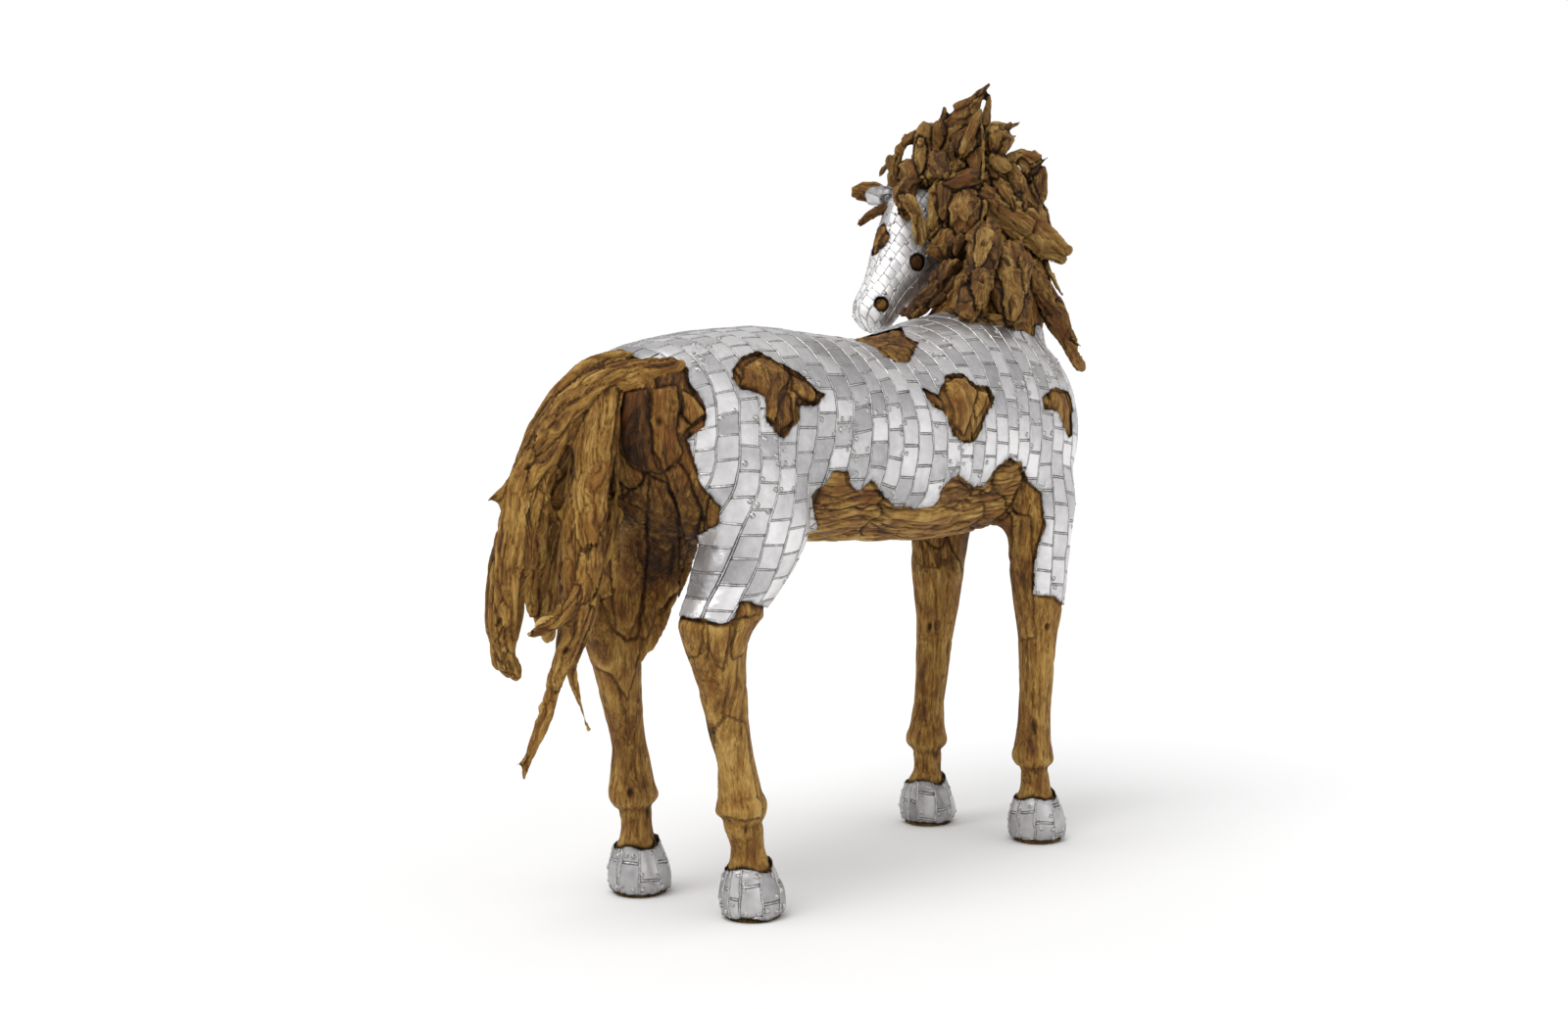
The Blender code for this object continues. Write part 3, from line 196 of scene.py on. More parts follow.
# Long roots of the tail: width in pixels, then the pixels that each runs through.
TAIL_ROOTS = [
    (34, [(700, 372), (672, 376), (640, 381), (610, 388), (584, 406), (562, 436), (546, 466)]),
    (20, [(652, 360), (612, 365), (590, 378), (566, 402), (549, 432), (533, 466), (521, 498)]),
    (12, [(566, 400), (545, 436), (528, 468), (518, 500), (511, 545), (503, 585), (499, 625)]),
    (20, [(560, 440), (541, 462), (529, 486), (530, 520), (537, 555), (541, 590)]),
    (30, [(545, 455), (531, 490), (525, 540), (521, 580), (520, 620), (524, 665)]),
    (17, [(522, 500), (512, 545), (506, 590), (503, 630), (507, 662), (518, 683), (526, 688)]),
    (26, [(552, 490), (551, 520), (550, 552), (547, 592), (540, 634)]),
    (9, [(572, 528), (566, 545), (556, 570), (551, 590)]),
    (15, [(604, 532), (584, 516), (562, 510), (537, 513)]),
    (24, [(600, 405), (585, 425), (572, 448), (556, 472), (541, 490), (535, 502)]),
    (42, [(624, 388), (612, 420), (607, 458), (605, 500), (606, 545), (604, 575)]),
    (18, [(570, 478), (560, 492), (556, 506)]),
    (14, [(608, 396), (624, 425), (631, 460), (630, 495), (625, 540), (618, 585)]),
    (30, [(602, 470), (606, 510), (609, 560), (602, 600), (592, 632)]),
    (20, [(586, 505), (581, 545), (578, 580), (577, 612), (584, 636)]),
    (24, [(614, 530), (606, 580), (596, 615), (583, 645), (574, 675), (568, 706)]),
    (15, [(592, 598), (578, 628), (562, 642), (535, 650)]),
    (8, [(576, 614), (562, 626), (545, 635)]),
    (9, [(524, 486), (510, 500), (496, 512)]),
    (9, [(600, 615), (596, 650), (589, 690)]),
    (1.6, [(568, 585), (561, 604), (564, 617)]),
]
# Planks from the near buttock down to the far thigh, in the same way.
THIGH_PLANKS = [
    (28, [(646, 470), (646, 500), (645, 545), (643, 595), (640, 640)]),
    (26, [(688, 486), (691, 515), (691, 550), (687, 590), (676, 630), (660, 668)]),
    (34, [(667, 470), (668, 505), (668, 545), (665, 590), (658, 640), (650, 680)]),
    (19, [(697, 518), (702, 538), (704, 558), (700, 577), (694, 600), (691, 613)]),
]
# Slabs of the body's wood: outline in pixels of the photo, height in metres, change of tone.
SLABS = [
    ([(638, 400), (662, 397), (664, 440), (668, 470), (677, 483), (655, 481), (641, 473),
      (634, 450), (633, 420)], 0.011, -0.38),
    ([(665, 397), (690, 395), (693, 415), (690, 440), (697, 460), (690, 476), (678, 480),
      (668, 460), (664, 430)], 0.013, 0.02),
    ([(694, 398), (703, 401), (715, 415), (722, 423), (706, 432), (697, 425)], 0.016, 0.25),
    ([(704, 437), (720, 428), (719, 441), (706, 447)], 0.011, 0.15),
    ([(678, 482), (690, 470), (700, 480), (708, 505), (716, 522), (712, 545), (700, 553),
      (694, 530), (688, 505), (682, 492)], 0.012, 0.02),
    ([(633, 484), (659, 484), (660, 560), (655, 620), (650, 650), (640, 654), (627, 644),
      (624, 600), (622, 560), (628, 520)], 0.006, 0.0),
    ([(662, 484), (680, 492), (693, 540), (694, 600), (672, 625), (660, 652), (652, 650),
      (657, 600), (662, 560)], 0.004, -0.22),
    ([(611, 605), (625, 645), (640, 655), (655, 650), (650, 680), (640, 715), (625, 690),
      (605, 680), (590, 660), (597, 630)], 0.006, -0.05),
    ([(721, 636), (744, 636), (743, 660), (738, 684), (730, 679), (723, 662)], 0.006, 0.10),
    ([(749, 634), (772, 625), (764, 652), (759, 668), (746, 674), (748, 655)], 0.005, 0.05),
    ([(686, 628), (718, 636), (718, 655), (712, 670), (704, 672), (688, 655)], 0.005, -0.10),
    ([(729, 741), (742, 733), (760, 736), (768, 790), (777, 834), (760, 838), (745, 835),
      (732, 834), (731, 800)], 0.0035, 0.18),
    ([(758, 376), (775, 364), (798, 372), (806, 385), (795, 400), (790, 432), (780, 425),
      (772, 398), (757, 392)], 0.006, 0.05),
    ([(808, 384), (822, 388), (835, 400), (829, 412), (816, 405), (806, 398)], 0.007, 0.0),
    ([(962, 390), (985, 384), (997, 398), (990, 420), (982, 446), (972, 432), (968, 410)],
     0.009, 0.10),
    ([(940, 396), (958, 404), (962, 418), (948, 410)], 0.006, 0.0),
    ([(998, 398), (1008, 402), (1002, 418), (994, 428), (990, 418)], 0.006, 0.05),
    ([(1032, 524), (1052, 528), (1054, 600), (1056, 650), (1040, 655), (1034, 600)], 0.003, 0.05),
    # this slab darkens the underside of the near buttock: darker wood and painted shade
    ([(663, 487), (680, 493), (692, 524), (692, 540), (660, 540), (660, 524)], 0.003, -0.22),
]
# The way that the light falls.
LIGHT_WAY = Vector((0.565, 0.063, -0.82))
# Where nails crowd, as pixels of the photo.
NAIL_CROWDS = [(795, 445), (797, 470), (799, 495), (870, 420), (866, 440), (873, 455), (904, 420),
               (914, 434), (1040, 400), (1048, 430), (1058, 450), (930, 470), (776, 520),
               (720, 365), (1066, 375), (958, 355), (985, 470)]
# Where the sheet is crumpled: pixel and radius.
CRUMPLED = [(950, 218, 12), (941, 253, 10), (907, 311, 9), (896, 332, 14), (874, 488, 14),
            (797, 462, 12), (868, 436, 14), (720, 360, 26), (706, 590, 14), (1064, 500, 14),
            (974, 480, 16), (836, 500, 10)]
# Brighter and dimmer parts of the studio: where, how wide, and how much.
WORLD_PATCHES = [((-0.10, -0.99, 0.08), 0.62, 0.97, 0.45), ((0.72, -0.69, 0.0), 0.75, 0.98, 0.12),
                 ((-0.72, -0.69, 0.05), 0.80, 0.98, -0.25), ((-0.5, 0.4, 0.76), 0.80, 0.98, 0.2)]


# In the functions p is always points, n their outward directions, and f how far inside the
# metal's edge they are. Most work on all points of a mesh at once.

# Noise, on arrays of points.

def hashed(i, j, k, seed):
    """A fixed number from 0 to 1 for each whole-numbered place."""
    h = (i * 73856093) ^ (j * 19349663) ^ (k * 83492791) ^ (seed * 2654435)
    for _ in range(2):
        h = ((h ^ (h >> 15)) * 73244475) & 0xFFFFFFFF
    return (h ^ (h >> 16)) / 4294967295.0


def hashed_one(i, j=0, k=0, seed=17):
    """The same for a single place."""
    return float(hashed(np.array([i]), np.array([j]), np.array([k]), seed)[0])


def noise(p, seed=0):
    """Smooth noise from -1 to 1."""
    base = np.floor(p)
    f = p - base
    f = f * f * (3 - 2 * f)
    i, j, k = base.astype(np.int64).T
    total = np.zeros(len(p))
    for dx, dy, dz in product((0, 1), repeat=3):
        weight = abs(1 - dx - f[:, 0]) * abs(1 - dy - f[:, 1]) * abs(1 - dz - f[:, 2])
        total += weight * hashed(i + dx, j + dy, k + dz, seed)
    return 2 * total - 1


def fbm(p, octaves, seed=0):
    """Noise with finer noise on it."""
    total, share, size = 0.0, 1.0, 0.0
    for k in range(octaves):
        total = total + share * noise(p * 2.03 ** k + 11.7 * k, seed + k)
        size += share
        share *= 0.5
    return total / size


def scattered(p, seed):
    """The scattered points round each place: their whole numbers, and the ways to them."""
    i0, j0, k0 = np.floor(p).astype(np.int64).T
    for dx, dy, dz in product((-1, 0, 1), repeat=3):
        whole = i0 + dx, j0 + dy, k0 + dz
        yield whole, [c + hashed(*whole, seed + s) - p[:, s] for s, c in enumerate(whole)]


def cells(p, seed=0):
    """Distances to the nearest and the next of scattered points, and the nearest one's number."""
    first = np.full(len(p), 9.0)
    second, own = first.copy(), np.zeros(len(p))
    for whole, way in scattered(p, seed):
        d = np.sqrt(sum(w * w for w in way))
        closer = d < first
        second = np.where(closer, first, np.minimum(second, d))
        own = np.where(closer, hashed(*whole, seed + 3), own)
        first = np.where(closer, d, first)
    return first, second, own


def bent(p, seed=0):
    """Smooth noise in three directions."""
    return np.stack([noise(p, seed), noise(p + 5.3, seed + 1), noise(p - 7.1, seed + 2)], 1)


def facets(p, seed):
    """Flat tilted faces like those of split wood, with steps between them."""
    best, height = np.full(len(p), 9.0), np.zeros(len(p))
    for whole, way in scattered(p, seed):
        d = sum(w * w for w in way)
        tilt = sum(w * (hashed(*whole, seed + 3 + s) - 0.5) for s, w in enumerate(way))
        closer = d < best
        height = np.where(closer, 2 * tilt + 0.6 * (hashed(*whole, seed + 6) - 0.5), height)
        best = np.where(closer, d, best)
    return height


def strands(g, wide, long, seed):
    """Rounded strands along the grain: how high, how near a joint, and each one's number."""
    g = g + 0.5 * wide * bent(g / (3.0 * wide), seed)
    near, far, own = cells(g / (long, wide, wide) + seed * 0.37, seed)
    return 1 - near, np.exp(-(far - near) / 0.10), own


def ramp(v, low, high):
    """From 0 at the low value to 1 at the high one, smoothly."""
    t = np.clip((v - low) / (high - low), 0, 1)
    return t * t * (3 - 2 * t)


# Meshes as arrays.

def read(items, field, width, kind=float):
    """What a mesh holds for each of its items, one row each."""
    values = np.empty(len(items) * width, kind)
    items.foreach_get(field, values)
    return values.reshape(-1, width)


def points_of(mesh):
    return read(mesh.vertices, "co", 3)


def normals_of(mesh):
    return read(mesh.vertex_normals, "vector", 3)


def edges_of(mesh):
    return read(mesh.edges, "vertices", 2, np.int64)


def triangles_of(mesh):
    mesh.calc_loop_triangles()
    return read(mesh.loop_triangles, "vertices", 3, np.int64)


def set_points(mesh, p):
    mesh.vertices.foreach_set("co", p.ravel())
    mesh.update()


def eased(values, edges, passes, factor=0.5):
    """Values at the vertices, drawn towards the mean of their neighbours."""
    count = len(values)
    a, b = edges.T
    degree = np.maximum(np.bincount(a, minlength=count) + np.bincount(b, minlength=count), 1)
    flat = values.reshape(count, -1).copy()
    for _ in range(passes):
        for c in range(flat.shape[1]):
            v = flat[:, c]
            near = np.bincount(a, v[b], count) + np.bincount(b, v[a], count)
            flat[:, c] = v + factor * (near / degree - v)
    return flat.reshape(values.shape)


def ridges_and_hollows(p, n, edges):
    """Above 0 on ridges and edges, below 0 in hollows, about -1 to 1."""
    near = eased(p, edges, 1, 1.0)
    wide = eased(p, edges, 4, 1.0)
    bulge = 0.5 * ((p - near) * n).sum(1) / 0.0007 + 0.5 * ((p - wide) * n).sum(1) / 0.0022
    return np.tanh(eased(bulge, edges, 1))


def attribute(mesh, name, values):
    """Stores a number or a vector at each point, for the finishes to read."""
    kind, field = ("FLOAT", "value") if values.ndim == 1 else ("FLOAT_VECTOR", "vector")
    made = mesh.attributes.get(name) or mesh.attributes.new(name, kind, "POINT")
    made.data.foreach_set(field, values.astype(np.float32).ravel())


def link(name, data):
    """A new object in the scene."""
    obj = bpy.data.objects.new(name, data)
    bpy.context.scene.collection.objects.link(obj)
    return obj


def as_shown(obj):
    """The mesh that an object's modifiers or bevel make; the object is removed."""
    deps = bpy.context.evaluated_depsgraph_get()
    deps.update()
    mesh = bpy.data.meshes.new_from_object(obj.evaluated_get(deps))
    bpy.data.objects.remove(obj, do_unlink=True)
    return mesh


def applied(mesh, kind, **values):
    """The mesh after a modifier."""
    obj = link("work", mesh)
    modifier = obj.modifiers.new(kind, kind)
    for name, value in values.items():
        setattr(modifier, name, value)
    return as_shown(obj)


def remeshed(mesh, grid):
    """One closed skin round all of a mesh, on an even grid."""
    return applied(mesh, "REMESH", mode="VOXEL", voxel_size=grid)


def together(meshes):
    """A bmesh of several meshes."""
    bm = bmesh.new()
    for mesh in meshes:
        bm.from_mesh(mesh)
    return bm


def mesh_from(bm, name):
    """The mesh of a bmesh, which is let go."""
    mesh = bpy.data.meshes.new(name)
    bm.to_mesh(mesh)
    bm.free()
    return mesh


def node_mesh(name):
    """A merged copy of a CAD node's mesh."""
    bm = together([nodes[name].data])
    bmesh.ops.remove_doubles(bm, verts=bm.verts[:], dist=0.00005)
    mesh = mesh_from(bm, name)
    mesh.materials.clear()
    return mesh


def tree_of(meshes):
    """A search tree over several meshes."""
    bm = together(meshes)
    tree = BVHTree.FromBMesh(bm)
    bm.free()
    return tree


def piece(name, mesh, finishes, slot, *replaced):
    """A finished piece that stands for some CAD nodes and rides on the horse."""
    mesh.materials.clear()
    for finish in finishes:
        mesh.materials.append(finish)
    mesh.shade_smooth()
    obj = link(name, mesh)
    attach(obj, "root")
    if replaced:
        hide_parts(*replaced)


# Finishes.

def shader(name):
    """A new finish, its node tree and its main shader."""
    m = bpy.data.materials.new(name)
    m.use_nodes = True
    return m, m.node_tree, m.node_tree.nodes["Principled BSDF"]


def fill(tree, node, inputs):
    """Gives a node's inputs their values or links."""
    for key, value in inputs.items():
        if isinstance(value, bpy.types.NodeSocket):
            tree.links.new(value, node.inputs[key])
        else:
            node.inputs[key].default_value = value
    return node


def add(tree, kind, inputs, **settings):
    """A new node with its settings and inputs."""
    node = tree.nodes.new(kind)
    for key, value in settings.items():
        setattr(node, key, value)
    return fill(tree, node, inputs)


def sums(tree, operation, *values, clamp=False):
    """The outcome of one sum."""
    return add(tree, "ShaderNodeMath", dict(enumerate(values)), operation=operation,
               use_clamp=clamp).outputs[0]


def weighed(tree, total, *terms):
    """A total with more terms: each a value, its weight, and what is first taken from it."""
    for value, weight, *less in terms:
        if less:
            value = sums(tree, "SUBTRACT", value, less[0])
        total = sums(tree, "MULTIPLY_ADD", value, weight, total)
    return total


def smooth_step(tree, value, low, high, at_low=1.0, at_high=0.0):
    """From one level to another while a value goes from low to high."""
    return add(tree, "ShaderNodeMapRange", {
        "Value": value, "From Min": low, "From Max": high, "To Min": at_low, "To Max": at_high},
        interpolation_type="SMOOTHSTEP").outputs[0]


def mixed(tree, factor, a, b):
    """Colour a, or b where the factor is 1."""
    return add(tree, "ShaderNodeMix", {0: factor, 6: a, 7: b}, data_type="RGBA").outputs[2]


def colours(tree, factor, stops):
    """A colour from a row of stops."""
    node = add(tree, "ShaderNodeValToRGB", {"Fac": factor})
    band = node.color_ramp
    while len(band.elements) < len(stops):
        band.elements.new(0.5)
    for element, (place, colour) in zip(band.elements, stops):
        element.position = place
        element.color = (*colour, 1)
    return node.outputs["Color"]


def stored(tree, name, output="Fac"):
    """What the mesh stores under a name."""
    return add(tree, "ShaderNodeAttribute", {}, attribute_name=name).outputs[output]


def own_place(tree):
    """The place on the object, in metres."""
    return add(tree, "ShaderNodeTexCoord", {}).outputs["Object"]


def cloudy(tree, place, scale, detail, rough=0.6, bend=0.0):
    """A cloudy pattern from 0 to 1."""
    return add(tree, "ShaderNodeTexNoise", {
        "Vector": place, "Scale": scale, "Detail": detail, "Roughness": rough,
        "Distortion": bend}).outputs["Fac"]


def ridged(tree, value):
    """How far a pattern is from its middle, either way."""
    return sums(tree, "ABSOLUTE", sums(tree, "SUBTRACT", value, 0.5))


def finish_off(tree, out, colour, rough, height, strength, deep):
    """Gives the shader its colour, roughness and fine bumps."""
    bump = add(tree, "ShaderNodeBump", {"Strength": strength, "Distance": deep, "Height": height})
    fill(tree, out, {"Base Color": colour, "Roughness": rough, "Normal": bump.outputs[0]})


def root_wood(name, stops, red, dark, rough_low):
    """Oiled root wood: fibres and smudges along each chunk's own grain, knots, dark joints."""
    m, tree, out = shader(name)
    grain, tone, shade = stored(tree, "grain", "Vector"), stored(tree, "tone"), stored(tree, "dark")

    def stretched(*scale):
        return add(tree, "ShaderNodeMapping", {"Vector": grain, "Scale": scale}).outputs[0]

    def pattern(along, across, detail, rough, bend):
        return cloudy(tree, stretched(along, across, across), 1.0, detail, rough, bend)

    patch = pattern(3.6, 8.0, 3.0, 0.55, 0.8)
    smudge = pattern(9.0, 17.0, 6.0, 0.66, 1.0)
    streak = pattern(7.0, 75.0, 5.0, 0.62, 0.7)
    fibre = pattern(34.0, 520.0, 4.0, 0.66, 0.5)
    rust = pattern(6.0, 13.0, 4.0, 0.6, 1.2)
    ripple = pattern(13.0, 190.0, 4.0, 0.6, 0.9)
    crack = smooth_step(tree, ridged(tree, pattern(4.5, 38.0, 3.0, 0.6, 0.6)), 0.002, 0.016)
    cracked = sums(tree, "MULTIPLY", sums(tree, "SUBTRACT", smudge, 0.40), 5.0, clamp=True)
    crack = sums(tree, "MULTIPLY", crack, cracked, clamp=True)
    knot = add(tree, "ShaderNodeTexVoronoi", {
        "Vector": stretched(7.0, 13.0, 13.0), "Scale": 1.0, "Randomness": 1.0}).outputs
    dice = add(tree, "ShaderNodeSeparateColor", {"Color": knot["Color"]}).outputs[0]
    some = sums(tree, "GREATER_THAN", dice, 0.60)
    core = sums(tree, "MULTIPLY", smooth_step(tree, knot["Distance"], 0.06, 0.22), some)
    rings = sums(tree, "SINE", sums(tree, "MULTIPLY", knot["Distance"], 75.0))
    rings = sums(tree, "MULTIPLY", rings, smooth_step(tree, knot["Distance"], 0.10, 0.42))
    rings = sums(tree, "MULTIPLY", rings, some)
    mix = weighed(tree, sums(tree, "MULTIPLY", streak, 0.25), (smudge, 0.45), (patch, 0.30))
    mix = weighed(tree, mix, (mix, 0.25, 0.5), (ripple, 0.26, 0.5), (fibre, 0.20, 0.5),
                  (tone, 0.22, 0.5), (rings, 0.025))
    base = mixed(tree, smooth_step(tree, rust, 0.52, 0.66, 0.0, 0.55),
                 colours(tree, mix, stops), (*red, 1))
    # darker at knots and cracks, and by the mesh's dark attribute: joints, plus painted shade where
    # the meshes put it
    for share in (sums(tree, "MULTIPLY", core, 0.8), sums(tree, "MULTIPLY", crack, 0.45), shade):
        base = mixed(tree, share, base, (*dark, 1))
    rough = sums(tree, "MULTIPLY_ADD", shade, 0.3, weighed(tree, rough_low, (fibre, 0.25)),
                 clamp=True)
    height = weighed(tree, sums(tree, "MULTIPLY", fibre, 0.30), (streak, 1.0), (ripple, 0.8),
                     (crack, -0.8), (smudge, 0.6), (core, -0.7), (rings, 0.06))
    out.inputs["Specular IOR Level"].default_value = 0.17
    finish_off(tree, out, base, rough, height, 0.9, 0.006)
    return m


def sheet_metal(name, bright, smooth=0.30):
    """Bright sheet: each plate a little different, dark with age along the seams."""
    m, tree, out = shader(name)
    plate, shade, tone, crumple = (stored(tree, "plate", "Vector"), stored(tree, "dark"),
                                   stored(tree, "tone"), stored(tree, "crumple"))
    parts = add(tree, "ShaderNodeSeparateXYZ", {"Vector": plate}).outputs
    column = sums(tree, "FLOOR", parts[0])
    # the same shift from column to column as in column_offset
    every_other = sums(tree, "MULTIPLY", sums(tree, "FLOORED_MODULO", column, 2.0), 0.5)
    wave = sums(tree, "SINE", sums(tree, "MULTIPLY", column, COLUMN_TURN))
    row = sums(tree, "ADD", parts[1], weighed(tree, every_other, (wave, 0.25)))

    def near_seam(value, size):
        gap = sums(tree, "MULTIPLY", sums(tree, "PINGPONG", value, 0.5), size)
        return smooth_step(tree, gap, 0.0026, 0.0048)

    place = own_place(tree)
    cloud = cloudy(tree, place, 34.0, 4.0)
    dent = cloudy(tree, place, 15.0, 2.0, bend=0.6)
    speck = cloudy(tree, place, 210.0, 2.0)
    crease = ridged(tree, cloudy(tree, place, 48.0, 3.0, bend=1.5))
    # creases where the sheet is crumpled; darkened in the colour as painted shade
    fold = sums(tree, "MULTIPLY", smooth_step(tree, crease, 0.004, 0.04), crumple)
    lines = sums(tree, "MAXIMUM", near_seam(parts[0], 0.066), near_seam(row, 0.070))
    lines = sums(tree, "MULTIPLY", lines, sums(tree, "MULTIPLY_ADD", cloud, 1.5, 0.10, clamp=True),
                 clamp=True)
    # darker at the seams and the sheet's edge, and in the creases as painted shade
    aged_and_crease_shade = sums(tree, "MAXIMUM", sums(tree, "MAXIMUM", lines, shade),
                sums(tree, "MULTIPLY", fold, 0.85))
    dull = (bright * 0.56, bright * 0.545, bright * 0.56, 1)
    clear = (bright * 1.22, bright * 1.20, bright * 1.20, 1)
    level = sums(tree, "MULTIPLY_ADD", sums(tree, "SUBTRACT", cloud, 0.5), 0.7, tone, clamp=True)
    colour = mixed(tree, aged_and_crease_shade, mixed(tree, level, clear, dull), (0.060, 0.057, 0.053, 1))
    rough = sums(tree, "MULTIPLY_ADD", aged_and_crease_shade, 0.35, weighed(tree, smooth, (cloud, 0.26)),
                 clamp=True)
    height = weighed(tree, sums(tree, "MULTIPLY", speck, 0.12), (cloud, 0.8), (dent, 2.2),
                     (fold, -1.0))
    out.inputs["Metallic"].default_value = 1.0
    finish_off(tree, out, colour, rough, height, 0.6, 0.003)
    return m


def plain_metal(name, colour, rough, wander):
    """Weld metal or the dark metal of the nails' rims, with a slightly uneven skin."""
    m, tree, out = shader(name)
    cloud = cloudy(tree, own_place(tree), 120.0, 3.0)
    low = tuple(c * (1 - wander) for c in colour)
    high = tuple(min(c * (1 + wander), 1.0) for c in colour)
    out.inputs["Metallic"].default_value = 1.0
    finish_off(tree, out, colours(tree, cloud, [(0.35, low), (0.65, high)]),
               weighed(tree, rough, (cloud, 0.2)), cloud, 0.4, 0.001)
    return m


BODY_STOPS = [(0.30, (0.022, 0.010, 0.004)), (0.40, (0.068, 0.028, 0.009)),
              (0.48, (0.160, 0.070, 0.015)), (0.56, (0.300, 0.152, 0.032)),
              (0.66, (0.460, 0.275, 0.072)), (0.78, (0.590, 0.420, 0.155))]
MANE_STOPS = [(0.30, (0.018, 0.009, 0.004)), (0.40, (0.055, 0.025, 0.010)),
              (0.48, (0.130, 0.061, 0.016)), (0.56, (0.235, 0.125, 0.032)),
              (0.66, (0.375, 0.232, 0.070)), (0.78, (0.500, 0.365, 0.150))]
body_finish = root_wood("oiled_root_wood", BODY_STOPS, (0.190, 0.065, 0.012),
                        (0.008, 0.005, 0.003), 0.45)
mane_finish = root_wood("mane_root_wood", MANE_STOPS, (0.160, 0.052, 0.012),
                        (0.007, 0.004, 0.003), 0.48)
sheet_finish = sheet_metal("welded_sheet", 0.68)
face_finish = sheet_metal("face_sheet", 0.77, 0.46)
hoof_finish = sheet_metal("hoof_sheet", 0.52, 0.26)
bead_finish = plain_metal("weld_bead", (0.50, 0.49, 0.48), 0.26, 0.3)
dark_rim_finish = plain_metal("dark_rim_metal", (0.045, 0.043, 0.040), 0.55, 0.4)


# Where the metal lies: distances to the cladding's edges, positive inside it.

def edge_distance(u, v, outline):
    """Distance to an outline on a chart, above 0 inside it."""
    best = np.full(u.shape, 1e9)
    inside = np.zeros(u.shape, bool)
    for (ax, ay), (bx, by) in zip(outline, outline[1:] + outline[:1]):
        dx, dy = bx - ax, by - ay
        t = np.clip(((u - ax) * dx + (v - ay) * dy) / (dx * dx + dy * dy), 0, 1)
        best = np.minimum(best, np.hypot(u - ax - t * dx, v - ay - t * dy))
        if ay != by:
            inside ^= ((ay > v) != (by > v)) & (u < (bx - ax) * (v - ay) / (by - ay) + ax)
    return np.where(inside, best, -best)


def body_cover(p):
    """How far inside the metal of the body points are, by the charts of its two sides."""
    u = 0.70 * p[:, 0] + 0.71 * abs(p[:, 1])
    collar = ramp(p[:, 2], 1.35, 1.41) * ramp(p[:, 0], 0.30, 0.42)
    v = p[:, 2] + 0.035 * collar * noise(p / 0.07, 112)
    sides = []
    for edge, holes in ((RIGHT_EDGE, RIGHT_HOLES), (LEFT_EDGE, LEFT_HOLES)):
        f = edge_distance(u, v, edge)
        for hole in holes:
            f = np.minimum(f, -edge_distance(u, v, hole))
        sides.append(f)
    f = np.where(p[:, 1] < 0, sides[0], sides[1])
    return np.minimum(f, abs(p[:, 1]) - INNER_EDGE + 3 * np.maximum(v - 0.96, 0))


def head_cover(p):
    """The same on the head, with openings for the eyes, the nostrils and the brow."""
    x, y, z = p[:, 0], abs(p[:, 1] - HEAD_MIDDLE), p[:, 2]
    cheek = 0.585 + 0.25 * (z - 1.60) - 0.5 * np.maximum(z - 1.80, 0)
    f = np.minimum(cheek - x, POLL_EDGE - z)
    f = np.minimum(f, z - CHIN_EDGE)
    # toward the neck
    f = np.minimum(f, p[:, 1] - 0.12 - 0.25 * np.maximum(x - 0.48, 0)
                   - 0.50 * np.maximum(1.60 - z, 0))
    for (cx, cy, cz), size in (EYE, NOSTRIL):
        f = np.minimum(f, np.sqrt((x - cx) ** 2 + (y - cy) ** 2 + (z - cz) ** 2) - size)
    (cx, cy, cz), (ax, ay, az) = BROW_PATCH
    d = np.sqrt(((x - cx) / ax) ** 2 + ((p[:, 1] - cy) / ay) ** 2 + ((z - cz) / az) ** 2)
    d = d + 0.30 * noise(p / 0.022, 113)
    return np.minimum(f, (d - 1) * min(ax, ay))


def ear_cover(p):
    """The same on the side of the ear that the photo shows."""
    x, y, depth = pixels_of(p + SHIFT)
    f = edge_distance(x, y, EAR_PLATE) * EAR_PIXEL
    low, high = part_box("ear")
    middle = np.array([(np.array(low) + np.array(high)) / 2])
    return np.minimum(f, pixels_of(middle)[2][0] + 0.004 - depth)


def hoof_cover(p):
    """The same on the hooves, higher in front."""
    f = np.full(len(p), -1.0)
    for cx, cy in HOOVES.values():
        turn = np.arctan2(p[:, 1] - cy, p[:, 0] - cx)
        top = HOOF_TOP + 0.018 * np.maximum(np.cos(turn), 0) ** 2 - 0.006 * np.sin(3 * turn)
        z = p[:, 2] + SHIFT[2] + 0.004 * noise(p / 0.05, 110)
        near = HOOF_REACH - np.hypot(p[:, 0] - cx, p[:, 1] - cy)
        f = np.maximum(f, np.minimum(np.minimum(top - z, z - SOLE_RIM), near))
    return f


# The body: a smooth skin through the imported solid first, then the wood's relief on it.

def smooth_skin():
    """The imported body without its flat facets, at the same size."""
    source = node_mesh("body")
    tree = BVHTree.FromPolygons([v.co[:] for v in source.vertices],
                                [p.vertices[:] for p in source.polygons])
    mesh = remeshed(source, COARSE_GRID)
    edges = edges_of(mesh)
    p = eased(points_of(mesh), edges, 36)
    set_points(mesh, p)
    n = normals_of(mesh)
    gap = np.empty(len(p))
    for i, (q, m) in enumerate(zip(p, n)):
        hit = tree.find_nearest(Vector(q))
        gap[i] = (hit[0] - Vector(q)).dot(Vector(m))
    p = p + n * eased(gap, edges, 60)[:, None]
    flat = (p[:, 2] < 0.012) & (n[:, 2] < -0.6)
    p[:, 2] = np.where(flat, 0.0, np.maximum(p[:, 2], 0.0))
    # the hooves get wider toward the floor
    for cx, cy in HOOVES.values():
        middle = np.array((cx, cy)) + SHIFT[:2]
        here = (np.hypot(*(p[:, :2] - middle).T) < 0.15) & (p[:, 2] < 0.2)
        wider = 1 + here * (HOOF_FLARE * ramp(p[:, 2], 0.11, 0.06) - 0.02 * ramp(
            p[:, 2], 0.06, 0.12) * ramp(p[:, 2], 0.19, 0.13))
        p[:, :2] = middle + (p[:, :2] - middle) * wider[:, None]
    set_points(mesh, p)
    return mesh


